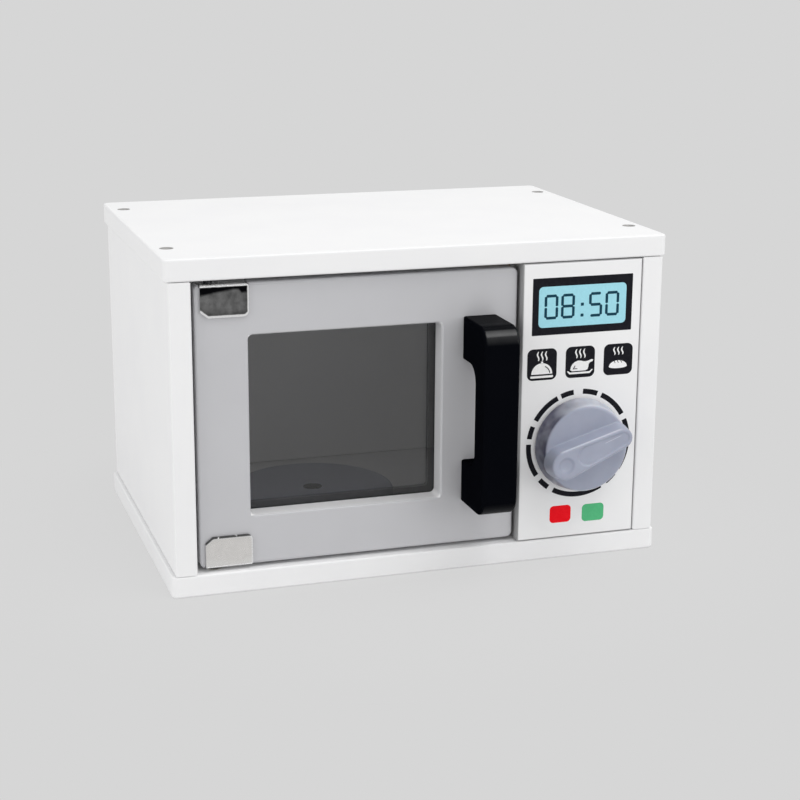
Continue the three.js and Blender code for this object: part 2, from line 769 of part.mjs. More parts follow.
function loft(rings) {
  const count = rings[0].length;
  const positions = rings.flat(2);
  const faces = [];
  for (let row = 0; row + 1 < rings.length; row += 1) {
    for (let column = 0; column < count; column += 1) {
      const here = row * count + column;
      const beside = row * count + (column + 1) % count;
      faces.push(here, beside, beside + count, here, beside + count, here + count);
    }
  }
  const last = (rings.length - 1) * count;
  for (let column = 1; column + 1 < count; column += 1) {
    faces.push(0, column + 1, column);
    faces.push(last, last + column, last + column + 1);
  }
  const geometry = new THREE.BufferGeometry();
  geometry.setAttribute('position', new THREE.Float32BufferAttribute(positions, 3));
  geometry.setIndex(faces);
  return geometry;
}

// A dish in the bar's wide end for the thumb, and a shallow track along the rest of its face

function thumbDimple(face) {
  const sphereRadius = (dimpleRadius ** 2 + dimpleDepth ** 2) / (2 * dimpleDepth);
  const arc = Math.asin(dimpleRadius / sphereRadius);
  const profile = [];
  for (let step = 0; step <= quarterFacets; step += 1) {
    const turn = (step / quarterFacets) * arc;
    profile.push([sphereRadius * Math.sin(turn), face - dimpleDepth + sphereRadius * (1 - Math.cos(turn))]);
  }
  profile[0][0] = 0;
  profile.push([dimpleRadius, face + overrun], [0, face + overrun]);
  return turned(profile, roundFacets / 2).translate(-barWideReach, 0, 0);
}

function pointerTrack(face) {
  const wideReach = barWideReach - dimpleRadius - trackFromDimple - barNarrowRadius;
  const outline = barOutline(barNarrowRadius, barNarrowRadius - trackMargin, wideReach);
  return prism(outline, trackDepth + overrun, 2 * quarterFacets).translate(0, 0, face - trackDepth);
}

// The washer lies on the stem's end, and the screw's head on the washer
const washerFrontZ = -boardThickness - stemPast - glueLine;
const knobScrewZ = washerFrontZ - knobWasherThickness - glueLine;

function timerKnob() {
  const front = knobStandoff + knobDepth;
  const face = front + barRise;
  const moulding = join([knobShell(), pointerBar(front)]);
  const screwHole = upsideDown(domeScrewHole(knobScrew)).translate(0, 0, knobScrewZ);
  return cut(moulding, [thumbDimple(face), pointerTrack(face), screwHole]).rotateZ(barAngle);
}

function addKnob(parent) {
  const knob = new THREE.Group();
  knob.position.set(panelCentreX, frontY, knobHeight);
  knob.rotation.x = Math.PI / 2;
  parent.add(knob);
  place(knob, 'timer_knob', timerKnob(), frostedPlastic);
  const washerHole = knobScrew.shankRadius + screwGap;
  const washer = ring(washerHole, knobWasherRadius, -knobWasherThickness, 0, roundFacets / 2);
  place(knob, 'knob_washer', washer, zincSteel, 0, 0, washerFrontZ);
  place(knob, 'knob_screw', upsideDown(domeScrew(knobScrew)), zincSteel, 0, 0, knobScrewZ);
}

addCabinet(microwave);
addControlPanel(microwave);
addCatch(microwave);
addTurntable(microwave);
addDoor(microwave);
addKnob(microwave);

export default microwave;
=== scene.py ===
"""Looks of the wooden toy microwave: paint, prints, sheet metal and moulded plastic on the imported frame."""

import json
import math

import bmesh
import bpy
from mathutils import Euler, Matrix, Vector
from mathutils.geometry import tessellate_polygon

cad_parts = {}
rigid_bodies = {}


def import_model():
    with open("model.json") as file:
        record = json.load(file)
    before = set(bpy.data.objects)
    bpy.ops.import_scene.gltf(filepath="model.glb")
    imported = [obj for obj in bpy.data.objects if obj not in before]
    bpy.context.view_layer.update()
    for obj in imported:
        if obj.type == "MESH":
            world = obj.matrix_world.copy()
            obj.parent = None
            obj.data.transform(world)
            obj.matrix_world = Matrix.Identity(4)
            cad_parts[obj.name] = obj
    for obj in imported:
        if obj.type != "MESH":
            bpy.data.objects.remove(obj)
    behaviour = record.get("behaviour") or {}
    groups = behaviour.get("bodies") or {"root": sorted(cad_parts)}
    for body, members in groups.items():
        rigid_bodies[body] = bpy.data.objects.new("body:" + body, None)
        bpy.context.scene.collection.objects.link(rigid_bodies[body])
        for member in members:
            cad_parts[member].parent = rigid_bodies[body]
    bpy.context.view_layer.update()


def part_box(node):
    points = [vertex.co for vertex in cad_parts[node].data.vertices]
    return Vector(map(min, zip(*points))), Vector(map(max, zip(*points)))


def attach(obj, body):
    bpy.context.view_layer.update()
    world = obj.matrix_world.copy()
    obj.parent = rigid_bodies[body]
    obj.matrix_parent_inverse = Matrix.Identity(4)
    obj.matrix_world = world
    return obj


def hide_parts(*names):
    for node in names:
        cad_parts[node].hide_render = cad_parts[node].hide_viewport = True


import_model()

MM = 0.001
QUARTER = math.pi / 2
X, Y, Z = range(3)


def placed(name, data):
    """A new object in the scene."""
    made = bpy.data.objects.new(name, data)
    bpy.context.scene.collection.objects.link(made)
    return made


def box_mm(node):
    """The two corners of a CAD node's box in millimetres."""
    return tuple(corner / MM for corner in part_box(node))


def middle(node):
    """The middle of a CAD node's box."""
    low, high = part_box(node)
    return [(low[axis] + high[axis]) / 2 for axis in (X, Y, Z)]


def round_size(node, axis):
    """The radius of a round CAD node, and its length along its axis."""
    low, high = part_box(node)
    return (high.x - low.x) / 2, high[axis] - low[axis]


# Camera


def look(place_mm, azimuth, elevation, roll, lens):
    """A camera at a place, turned by the angles in degrees."""
    camera = placed("camera", bpy.data.cameras.new("camera"))
    turn, tilt = math.radians(azimuth), math.radians(elevation)
    ahead = Vector((math.sin(turn) * math.cos(tilt), math.cos(turn) * math.cos(tilt), -math.sin(tilt)))
    rolled = Matrix.Rotation(math.radians(roll), 4, ahead)
    aimed = ahead.to_track_quat("-Z", "Y").to_matrix().to_4x4()
    camera.matrix_world = Matrix.Translation(Vector(place_mm) * MM) @ rolled @ aimed
    camera.data.lens = lens
    camera.data.sensor_width = 36
    camera.data.clip_start, camera.data.clip_end = 0.05, 100
    bpy.context.scene.camera = camera


look((-223.4, -729.5, 261.0), 18.00, 15.08, -0.356, 79.0)

# Finishes


class Wire:
    """A value on its way through a tree of nodes: arithmetic on it adds Math nodes."""

    def __init__(self, nodes, socket):
        self.nodes, self.socket = nodes, socket

    def maths(self, operation, *values, **more):
        return self.nodes.node("ShaderNodeMath", {"operation": operation, **more}, dict(enumerate(values)))

    def __add__(self, other):
        return self.maths("ADD", self, other)

    def __sub__(self, other):
        return self.maths("SUBTRACT", self, other)

    def __rsub__(self, other):
        return self.maths("SUBTRACT", other, self)

    def __mul__(self, other):
        return self.maths("MULTIPLY", self, other)

    def __truediv__(self, other):
        return self.maths("DIVIDE", self, other)

    def __pow__(self, other):
        return self.maths("POWER", self, other)

    __radd__ = __add__

    def size(self):
        return self.maths("ABSOLUTE", self)

    def sine(self):
        return self.maths("SINE", self)

    def cosine(self):
        return self.maths("COSINE", self)

    def held(self):
        """Between nought and one."""
        return self.maths("ADD", self, 0, use_clamp=True)

    def at_least(self, other):
        return self.maths("MAXIMUM", self, other)

    def more_than(self, start, end):
        """Nought up to start, one from end, even between them."""
        return ((self - start) / (end - start)).held()

    def past(self, low, high):
        """How far outside a span it lies, below nought inside it."""
        return (self - (low + high) / 2).size() - (high - low) / 2


def far(across, up):
    """The straight distance over two lengths at right angles."""
    return (across * across + up * up) ** 0.5


class Nodes:
    """A tree of nodes, and the one way that they are made."""

    family = "ShaderNode"

    def __init__(self, tree):
        self.tree = tree

    def node(self, kind, settings=None, inputs=None, out=0):
        """What a new node gives out, or the node itself where out is None."""
        made = self.tree.nodes.new(kind if "Node" in kind else self.family + kind)
        for name, value in (settings or {}).items():
            setattr(made, name, value)
        for name, value in (inputs or {}).items():
            self.feed(made.inputs[name], value)
        return made if out is None else Wire(self, made.outputs[out])

    def feed(self, socket, value):
        """Set or link a socket: a list holds what goes into one that takes several links."""
        for one in value if isinstance(value, list) else [value]:
            if isinstance(one, Wire):
                self.tree.links.new(one.socket, socket)
            else:
                socket.default_value = one

    def axes(self, vector):
        """The three values of a vector."""
        parts = self.node("ShaderNodeSeparateXYZ", {}, {0: vector}, out=None)
        return [Wire(self, parts.outputs[axis]) for axis in "XYZ"]


class Finish(Nodes):
    """A material of one Principled surface."""

    def __init__(self, name, **sockets):
        self.material = bpy.data.materials.new(name)
        self.material.use_nodes = True
        super().__init__(self.material.node_tree)
        self.surface = self.tree.nodes["Principled BSDF"]
        self.set(**sockets)
        place = self.node("TexCoord", out="Object")
        self.mm = self.node("VectorMath", {"operation": "SCALE"}, {0: place, "Scale": 1 / MM})
        self.x, self.y, self.z = self.axes(self.mm)

    def set(self, **sockets):
        for name, value in sockets.items():
            self.feed(self.surface.inputs[name.replace("_", " ")], value)
        return self

    def noise(self, scale, detail=2.0, stretch=(1, 1, 1), roughness=0.5):
        """Even noise, scale waves to the millimetre, drawn out by the stretch."""
        place = self.node("Mapping", {}, {"Vector": self.mm, "Scale": stretch})
        return self.node("TexNoise", {}, {
            "Vector": place, "Scale": scale, "Detail": detail, "Roughness": roughness})

    def coat(self):
        """What all brushed and sprayed paint shows: broad clouds and fine orange peel."""
        return self.noise(0.035, 3), self.noise(1.3, 2)

    def mix(self, share, first, second):
        return self.node("Mix", {"data_type": "RGBA"}, {0: share, 6: first, 7: second}, out=2)

    def relief(self, height, depth_mm):
        """Bump from a height of nought to one that stands for that depth."""
        bump = self.node("Bump", {}, {"Strength": 1.0, "Distance": depth_mm * MM, "Height": height})
        return self.set(Normal=bump)


def paint(red, green, blue):
    """A colour from its 0 to 255 screen values."""

    def light(value):
        value /= 255
        return value / 12.92 if value <= 0.04045 else ((value + 0.055) / 1.055) ** 2.4

    return (light(red), light(green), light(blue), 1.0)


def grey_metal(level):
    """A neutral metal's colour from its share of the light."""
    return (level, level, level, 1)


def sprayed_paint(name, pale, deep, gloss, painted_light_and_bare=None, **sockets):
    """Sprayed satin paint on sanded board: faint orange peel over faint traces of the sanding.

    The last argument gives a share and a colour laid over the paint: painted light, painted shade and the
    bare board in the countersinks.
    """
    finish = Finish(name, **sockets)
    cloud, peel = finish.coat()
    sanding = finish.noise(0.6, 3, (0.12, 1, 1))
    speck = finish.noise(2.6, 1).more_than(0.70, 0.76)
    tone = finish.mix((cloud * 1.4 - 0.2 + speck * 0.25).held(), pale, deep)
    if painted_light_and_bare:
        share, under = painted_light_and_bare(finish)
        tone = finish.mix(share, tone, under)
    finish.set(Base_Color=tone, Roughness=gloss + peel * 0.08 + cloud * 0.05)
    return finish.relief(peel * 0.8 + sanding * 0.2, 0.012).material


def white_paint(name, painted_light_and_bare=None):
    """The cabinet's white."""
    return sprayed_paint(name, paint(241, 241, 241), paint(237, 237, 238), 0.5, painted_light_and_bare, Specular_IOR_Level=0.15)


def painted_light_on_cut_edges(finish):
    """Painted light on the window's cut edges: paler than the door's grey, palest along the foot that faces
    up.
    """
    cut = 1
    for value, low, high in zip((finish.x, finish.z), window_low, window_high):
        cut = value.past(low / MM, high / MM).more_than(0.12, 0.02) * cut
    foot = (finish.z - window_low[1] / MM).more_than(2.0, 0.4)
    return cut, finish.mix(foot, paint(217, 217, 219), paint(236, 236, 237))


def painted_seam_shade(finish):
    """Painted shade in the seam round the control panel: the panel's edge darkened to grey."""
    low, high = box_mm("control_panel")
    outside = finish.x.past(low.x, high.x).at_least(finish.z.past(low.z, high.z))
    return outside.more_than(-0.55, -0.25) * 0.8, paint(135, 135, 136)


def bare_and_shaded_seats(finish):
    """The bare board in the four countersinks, its grey darkened as painted shade in the hollows."""
    middles = [middle(f"top_screw_{name}") for name in CABINET_SCREWS]
    away = []
    for value, axis in ((finish.x, X), (finish.y, Y)):
        low, high = (pick(spot[axis] for spot in middles) / MM for pick in (min, max))
        away.append(value.past(low, high))
    return far(*away).more_than(2.86, 2.80), (0.48, 0.47, 0.46, 1)


def clip_nickel_painted_light(name, node, out, face, dark_tone_and_edge_shade, painted_band_shade, painted_lip_light):
    """Plated clip with a mottled face and painted light: bright rims as painted highlights, the lip's rim in
    its own painted tone, and painted shade along the edges and in a strip under the bend.
    """
    finish = Finish(name, Metallic=1.0)
    low, high = box_mm(node)
    left, right = finish.x - low.x, high.x - finish.x
    lip, web = finish.z - low.z, high.z - finish.z
    if out < 0:
        lip, web = web, lip
    cut_x, cut_z = CLIP_CHAMFER
    chamfer = (left * cut_z + lip * cut_x - cut_x * cut_z) / math.hypot(cut_x, cut_z)
    corner = (right + lip) * math.sqrt(0.5) - 0.9
    left_rim = left + (lip - 1.5).at_least(0)
    wander = finish.noise(0.9, 2) * 0.3
    # Inside the rims lies the face; the rims themselves are painted highlights, and the face darkens as
    # painted shade within 1.8 mm of its edges
    inside = clear_of_edge_shade = (low.y + 0.6 - finish.y).more_than(0.0, 0.2)
    for edge, rim in ((left_rim, 0.25), (right, 0.4), (lip, 0.8), (chamfer, 0.7), (corner, 0.7), (web, 0.8)):
        inside = inside * (edge - wander).more_than(rim - 0.2, rim + 0.15)
        clear_of_edge_shade = clear_of_edge_shade * edge.more_than(rim, rim + 1.8)
    cloud = finish.noise(0.32, 4, roughness=0.6)
    rub = finish.noise(1.8, 3, (1, 1, 5))
    mottle_and_edge_shade_share = (cloud.more_than(0.3, 0.7) * 0.8 + rub * 0.2 + (1 - clear_of_edge_shade) * 0.5).held()
    share = left / (high.x - low.x)
    # Painted shade: a dark strip under the bend, deeper toward the left
    depth = 1.9 + (0.68 - share).held() * 2.9 + share.more_than(0.80, 0.85) * 1.3 + finish.noise(0.5, 2) * 0.8
    under = (depth - web).more_than(-0.4, 0.6)
    plain = finish.mix(under, finish.mix(mottle_and_edge_shade_share, face, dark_tone_and_edge_shade), painted_band_shade)
    broken = finish.noise(0.55, 1).more_than(0.62, 0.68)
    # The lip's rim: a painted shade line on the lower clip, a painted highlight on the upper
    painted_lip_line = (lip.more_than(0.9, 0.5) + chamfer.more_than(0.8, 0.4)).held() * (1 - broken)
    rim = finish.mix(painted_lip_line, grey_metal(0.95), painted_lip_light)
    finish.set(Base_Color=finish.mix(inside, rim, plain), Roughness=0.20 + rub * 0.1 + cloud * 0.06)
    return finish.relief(rub * 0.7 + cloud * 0.3, 0.008).material


def turned_steel(name, colour, dark, gloss, metal=1.0, **sockets):
    """Plate or blacking on small turned and pressed pieces."""
    finish = Finish(name, Metallic=metal, **sockets)
    grain = finish.noise(2.2, 3)
    blot = finish.noise(0.5, 2).more_than(0.45, 0.75)
    finish.set(Base_Color=finish.mix((grain * 0.5 + blot * 0.4).held(), colour, dark))
    finish.set(Roughness=gloss + grain * 0.15)
    return finish.relief(grain, 0.01).material


def moulded_nylon():
    """Natural nylon with a fine frosted skin."""
    finish = Finish("nylon")
    frost = finish.noise(4.0, 2)
    cloud = (finish.noise(0.12, 2) * 1.2 - 0.1).held()
    finish.set(Base_Color=finish.mix(cloud, paint(232, 229, 220), paint(222, 218, 206)))
    finish.set(Roughness=0.42 + frost * 0.1)
    return finish.relief(frost, 0.01).material


def ink(name, colour, gloss=0.45):
    """Screen printed ink: nearly even, with pinholes and a slightly pulled film."""
    finish = Finish(name, Specular_IOR_Level=0.1)
    film = finish.noise(1.1, 2)
    pinhole = finish.noise(5.0, 1).more_than(0.72, 0.8)
    thin = tuple(min(1.0, value * 1.12 + 0.012) for value in colour[:3]) + (1.0,)
    finish.set(Base_Color=finish.mix((film.more_than(0.4, 0.9) * 0.6 + pinhole * 0.4).held(), colour, thin))
    finish.set(Roughness=gloss + film * 0.08)
    return finish.relief(film, 0.004).material


def disc_paint():
    """Blue-grey satin paint: the drilled hollow round the screw is painted almost black as painted shade."""
    finish = Finish("disc_paint")
    low, high = box_mm("turntable_disc")
    across, deep = finish.x - (low.x + high.x) / 2, finish.y - (low.y + high.y) / 2
    painted_recess_shade = far(across, deep).more_than(4.45, 4.35)
    cloud, peel = finish.coat()
    tone = finish.mix(cloud, paint(168, 171, 186), paint(163, 166, 182))
    finish.set(Base_Color=finish.mix(painted_recess_shade, tone, paint(24, 24, 26)))
    finish.set(Roughness=0.42 + peel * 0.08 + painted_recess_shade * 0.3)
    return finish.relief(peel, 0.012).material


def handle_paint():
    """Deep black paint: the rounded nose is rubbed to a gloss, the rest stays matt."""
    finish = Finish("black_paint", Specular_IOR_Level=0.0, Coat_IOR=1.5, Coat_Roughness=0.16)
    low, high = box_mm("door_handle")
    under, above = high.z - finish.z, finish.z - low.z
    face = (finish.x - low.x).more_than(0.5, 1.3) * (high.x - finish.x).more_than(0.2, 0.9)
    nose = under.more_than(1.0, 2.6) * under.more_than(6.8, 4.0) * (0.75 + finish.noise(0.25, 2) * 0.4)
    gloss = under.more_than(2.4, 1.2) * 0.12 + nose * 0.85 + above.more_than(6, 3) * 0.25
    cloud, peel = finish.coat()
    finish.set(Coat_Weight=gloss * face, Roughness=0.3 + peel * 0.08)
    finish.set(Base_Color=finish.mix(cloud, paint(6, 7, 11), paint(10, 11, 15)))
    return finish.relief(peel, 0.006).material


def bare_wood(name, pale, dark):
    """Sanded softwood: rings drawn out along Z, fine pores and a soft sheen."""
    finish = Finish(name)
    warp = finish.noise(0.05, 2, (1, 1, 0.2))
    rings = (finish.x * 1.9 + finish.y * 1.1 + warp * 16).sine()
    fibre = finish.noise(2.2, 4, (1, 1, 0.06))
    pore = finish.noise(3.4, 2, (1, 1, 0.1)).more_than(0.62, 0.72)
    tone = (rings * 0.22 + 0.25 + fibre * 0.4 + pore * 0.35).held()
    finish.set(Base_Color=finish.mix(tone, pale, dark), Roughness=0.6 + fibre * 0.15)
    return finish.relief(fibre * 0.6 + (1 - pore) * 0.4, 0.02).material


def knob_plastic():
    """Frosted silver-blue moulding with painted light: the skirt's left side is painted shade, blotched where
    the dashes show through, and the bar carries painted highlights and painted shade round its hollow.
    """
    finish = Finish("frosted_plastic", Subsurface_Weight=0.1, Subsurface_Scale=0.002,
                    Coat_Weight=0.15, Coat_Roughness=0.2)
    frost, flow = finish.noise(3.2, 3), finish.noise(0.16, 2)
    low, high = box_mm("timer_knob")
    across, up = finish.x - (low.x + high.x) / 2, finish.z - KNOB_Z / MM
    body = finish.mix((flow * 1.4 - 0.2).held(), paint(163, 168, 185), paint(152, 157, 175))
    # The skirt's wall: painted shade, darkest on the left, blotched where the dashes show through
    behind = (finish.y - (box_mm("control_panel")[0].y - 9)).more_than(0.1, 0.6)
    skirt = far(across, up).more_than(17.3, 18.3) * behind
    shaded = (across * 0.95 - up * 0.05 + finish.noise(0.15, 1) * 8 - 4).more_than(0, -14)
    blotch = 0.72 + finish.noise(0.2, 1).more_than(0.35, 0.65) * 0.28
    wall = finish.mix(shaded * blotch, paint(190, 193, 204), paint(76, 76, 96))
    # The pointer bar: a painted highlight along its arris, a painted glint by the tip, and painted shade
    # round the edge of its round hollow
    lean = math.radians(BAR_ANGLE)
    along = across * math.cos(lean) + up * math.sin(lean)
    aside = up * math.cos(lean) - across * math.sin(lean)
    crest = (low.y - finish.y + 1.1).more_than(0.0, 0.3)
    rim = 1 - (((aside.size() - (5.47 - along * 0.074)) / 0.45).size()).held()
    straight = along.more_than(-13.5, -11.5) * along.more_than(16, 14)
    painted_glint = (1 - ((aside - 1.6) / 0.22).size().held()) * along.more_than(6, 7) * along.more_than(14.5, 13.5)
    pale = ((rim * straight * 0.7 + painted_glint * 0.7) * crest).held()
    painted_dish_shade = (far(along + 12.6, aside) - 3.1).size().more_than(0.9, 0.2)
    body = finish.mix(painted_dish_shade * 0.45, body, paint(140, 145, 164))
    body = finish.mix(pale, body, paint(214, 217, 226))
    finish.set(Base_Color=finish.mix(skirt, body, wall), Roughness=0.34 + frost * 0.1)
    return finish.relief(frost, 0.012).material


def smoked_sheet():
    """Smoke-tinted clear sheet with faint wiping marks, darkened along the window's edges as painted shade,
    most at the right and the bottom.
    """
    finish = Finish("tinted_sheet", Specular_IOR_Level=0.0, Coat_IOR=2.9, Coat_Roughness=0.012)
    turn = 1.6
    across = finish.x.past(window_low[0] / MM + 1.3, window_high[0] / MM - 2.5)
    up = finish.z.past(window_low[1] / MM + 2.6, window_high[1] / MM - 1.4)
    outside = far((across + turn).at_least(0), (up + turn).at_least(0))
    painted_shade_border = outside.more_than(turn - 0.08, turn + 0.08)
    wipe = finish.noise(0.05, 3, (1, 1, 3))
    dust = finish.noise(1.8, 2).more_than(0.66, 0.8)
    finish.set(Roughness=0.02 + wipe * 0.02 + dust * 0.02)
    # Painted shade: the strip along the window's edges is darker and less glossy
    finish.set(Alpha=0.17 + painted_shade_border * 0.43, Coat_Weight=0.84 - painted_shade_border * 0.44)
    finish.set(Base_Color=finish.mix((wipe * 0.5 + dust * 0.15).held(), paint(10, 10, 11), paint(20, 20, 21)))
    return finish.material


KNOB_Z = 50.6 * MM
BAR_ANGLE = 21
# How far the clips' corner is cut, across and up, in millimetres
CLIP_CHAMFER = (3.0, 2.4)
# Face, dark tone, strip under the bend and lip tone of each clip: both are the same plated steel; the upper
# clip's dark face and strip are painted reflection and painted shade, the lower clip's bright face is painted
# reflection and its dark lip tone painted shade
CLIP_LIT_AND_SHADED_TONES = {
    "upper": (grey_metal(0.24), grey_metal(0.09), (0.004, 0.004, 0.005, 1), grey_metal(0.95)),
    "lower": ((0.87, 0.85, 0.83, 1), (0.80, 0.78, 0.76, 1), (0.86, 0.85, 0.83, 1), grey_metal(0.10)),
}
WHITE = white_paint("white_paint")
BLACK = handle_paint()
DISC = disc_paint()
ZINC = turned_steel("zinc_steel", (0.46, 0.46, 0.47, 1), (0.30, 0.30, 0.32, 1), 0.28)
# Blackened steel for the turntable screw, its colour deepened as painted shade in the dark hub
BLACK_STEEL = turned_steel("black_steel", (0.011, 0.011, 0.012, 1), (0.008, 0.008, 0.009, 1), 0.5, 0.0,
                           Specular_IOR_Level=0.08)
# The upper pin's zinc: the same steel as the lower pin's, painted darker as painted shade
SHADED_ZINC = turned_steel("dull_zinc_steel", (0.07, 0.07, 0.075, 1), grey_metal(0.05), 0.45)
MAGNET = turned_steel("magnet", (0.20, 0.20, 0.21, 1), (0.13, 0.13, 0.14, 1), 0.4)
NYLON = moulded_nylon()
PLASTIC = knob_plastic()
WOOD = bare_wood("raw_wood", paint(222, 192, 146), paint(186, 146, 98))
INK_BLACK = ink("ink_black", paint(20, 20, 27))
INK_WHITE = ink("ink_white", paint(240, 240, 240))
INK_RED = ink("ink_red", paint(240, 6, 26))
INK_GREEN = ink("ink_green", paint(86, 184, 128))
INK_SCREEN = ink("ink_screen", paint(160, 217, 230), 0.3)
INK_SEGMENT = ink("ink_segment", paint(14, 60, 78))

# Shapes


def settled(made):
    """The object's mesh with its modifiers worked in."""
    bpy.context.view_layer.update()
    seen = made.evaluated_get(bpy.context.evaluated_depsgraph_get())
    mesh = bpy.data.meshes.new_from_object(seen)
    mesh.name = made.name
    made.modifiers.clear()
    made.data = mesh
    return mesh


def piece(name, mesh, finish, body, stands_for=(), weighted=True):
    """A finished piece at the origin that rides on its body."""
    made = placed(name, mesh)
    mesh.materials.clear()
    mesh.materials.append(finish)
    if weighted:
        made.modifiers.new("weighted", "WEIGHTED_NORMAL")
        settled(made)
    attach(made, body)
    if stands_for:
        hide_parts(*stands_for)


def mesh_of(name, shape, smooth=True):
    """A mesh from a bmesh, with its doubles merged and its faces turned outwards."""
    bmesh.ops.remove_doubles(shape, verts=shape.verts, dist=1e-7)
    bmesh.ops.recalc_face_normals(shape, faces=shape.faces)
    for face in shape.faces:
        face.smooth = smooth
    mesh = bpy.data.meshes.new(name)
    shape.to_mesh(mesh)
    shape.free()
    return mesh


def oval(x, y, half_width, half_height, start=0, end=4, steps=40):
    """Points of an ellipse between two angles in quarters of a turn, once round where it closes."""
    turns = [QUARTER * (start + (end - start) * step / steps) for step in range(steps + 1)]
    points = [(x + half_width * math.cos(turn), y + half_height * math.sin(turn)) for turn in turns]
    return points[:-1] if end - start == 4 else points


def arc(centre, radius, start, end, steps=6):
    return oval(*centre, radius, radius, start, end, steps)


def circle(x, y, radius, steps=48):
    return oval(x, y, radius, radius, steps=steps)


def rounded(low, high, radius, steps=8):
    """A rectangle between two corners, its own corners rounded, anticlockwise."""
    (left, bottom), (right, top) = low, high
    points = []
    for x, y, quarter in ((right, bottom, -1), (right, top, 0), (left, top, 1), (left, bottom, 2)):
        centre = (x - radius if x == right else x + radius, y - radius if y == top else y + radius)
        points += arc(centre, radius, quarter, quarter + 1, steps)
    return points


def grown(low, high, by):
    return (low[0] - by, low[1] - by), (high[0] + by, high[1] + by)


def plate(loops, thickness, arris=0.0, steps=4):
    """A flat closed piece. loops(inset) gives its outline and then its holes, drawn in by the inset."""
    shape = bmesh.new()
    curve = arc((arris, arris), arris, -1, -2, steps) if arris else [(0.0, 0.0)]
    levels = curve + [(inset, thickness - height) for inset, height in reversed(curve)]
    rows = [[[shape.verts.new((x, y, height)) for x, y in loop] for loop in loops(inset)]
            for inset, height in levels]
    for low_row, high_row in zip(rows, rows[1:]):
        for below, above in zip(low_row, high_row):
            wall(shape, below, above)
    for row in (rows[0], rows[-1]):
        flat = [corner for loop in row for corner in loop]
        for triangle in tessellate_polygon([[corner.co for corner in loop] for loop in row]):
            if len({*triangle}) == 3:
                shape.faces.new([flat[index] for index in triangle])
    return shape


def wall(shape, below, above):
    """Faces between two rings of as many corners, a triangle where two of them are one."""
    for index in range(len(below)):
        after = (index + 1) % len(below)
        corners = [below[index], below[after], above[after], above[index]]
        ring = [corner for place, corner in enumerate(corners) if corner not in corners[:place]]
        if len(ring) > 2:
            shape.faces.new(ring)


def sheet(outline, thickness):
    """A flat piece with plain edges and no holes."""
    return plate(lambda _: [outline], thickness)


def lathed(profile, steps=96):
    """A closed piece turned round Z from its radius and height pairs."""
    shape = bmesh.new()
    rows = []
    for radius, height in profile:
        if radius < 1e-6:
            rows.append([shape.verts.new((0, 0, height))] * steps)
        else:
            rows.append([shape.verts.new((x, y, height)) for x, y in circle(0, 0, radius, steps)])
    for below, above in zip(rows, rows[1:]):
        wall(shape, below, above)
    return shape


def drill(radius, start, end, steps=64):
    """A plain round tool along Z."""
    return lathed([(0, start), (radius, start), (radius, end), (0, end)], steps)


def skin(rings):
    """A closed piece through rings of as many points each, a flat fan over each end."""
    shape = bmesh.new()
    rows = [[shape.verts.new(point) for point in ring] for ring in rings]
    for below, above in zip(rows, rows[1:]):
        wall(shape, below, above)
    shape.faces.new(rows[0])
    shape.faces.new(rows[-1])
    return shape


def moved(shape, *turns, to=(0, 0, 0)):
    """The shape turned by each matrix in turn, then moved."""
    for turn in turns:
        bmesh.ops.transform(shape, matrix=turn, verts=shape.verts)
    bmesh.ops.translate(shape, vec=to, verts=shape.verts)
    return shape


# A plate is drawn flat: these stand it up, its thickness running to the front, the back or the right
TO_FRONT = Matrix.Rotation(QUARTER, 4, "X")
TO_BACK = Matrix.Rotation(-QUARTER, 4, "X")
ON_EDGE = Matrix(((0, 0, 1, 0), (1, 0, 0, 0), (0, 1, 0, 0), (0, 0, 0, 1)))
# The same for an outline that is drawn outwards from the door
ON_EDGE_OUTWARDS = Matrix(((0, 0, 1, 0), (-1, 0, 0, 0), (0, 1, 0, 0), (0, 0, 0, 1)))
OVER = Matrix.Rotation(math.pi, 4, "X")
SHARP = 1e-5


def board(node, normal, corner, arris, holes=None, corner_steps=6, arris_steps=4):
    """A flat shape in place of its CAD node, rounded at its corners and along its edges."""
    low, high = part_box(node)
    flat = [[end[axis] for axis in (X, Y, Z) if axis != normal] for end in (low, high)]

    def loops(inset):
        outline = rounded(*grown(*flat, -inset), max(corner - inset, SHARP), corner_steps)
        return [outline, *(holes(inset) if holes else [])]

    turns, place = {
        X: ([ON_EDGE], (low.x, 0, 0)),
        Y: ([TO_FRONT], (0, high.y, 0)),
        Z: ([], (0, 0, low.z)),
    }[normal]
    return moved(plate(loops, high[normal] - low[normal], arris, arris_steps), *turns, to=place)


def worked(name, shape, tools, operation="DIFFERENCE", bevel=0.0, angle=40):
    """The shape's mesh after each tool has cut it, its sharp edges then softened."""
    made = placed(name, mesh_of(name, shape))
    helpers = []
    for tool in tools:
        helper = placed("tool", mesh_of("tool", tool))
        helpers.append(helper)
        work = made.modifiers.new("work", "BOOLEAN")
        work.operation, work.object, work.solver = operation, helper, "EXACT"
    if bevel:
        soft = made.modifiers.new("soft", "BEVEL")
        soft.width, soft.segments, soft.use_clamp_overlap = bevel, 3, True
        soft.limit_method, soft.angle_limit = "ANGLE", math.radians(angle)
    mesh = settled(made)
    for gone in [made, *helpers]:
        bpy.data.objects.remove(gone)
    return mesh


def turned(name, node, profile, facing, finish, body, steps=96, axis=None):
    """A lathed piece in place of its CAD node, its profile drawn from the end that it stands on."""
    low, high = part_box(node)
    x, y, z = axis or middle(node)
    turns, place = {
        "up": ([], (x, y, low.z)),
        "down": ([OVER], (x, y, high.z)),
        "back": ([TO_BACK], (x, low.y, z)),
    }[facing]
    piece(name, mesh_of(node, moved(lathed(profile, steps), *turns, to=place)), finish, body, [node])


def foot_edge(radius, edge):
    """The rounded edge at the foot of a turned piece."""
    return arc((radius - edge, edge), edge, -1, 0)


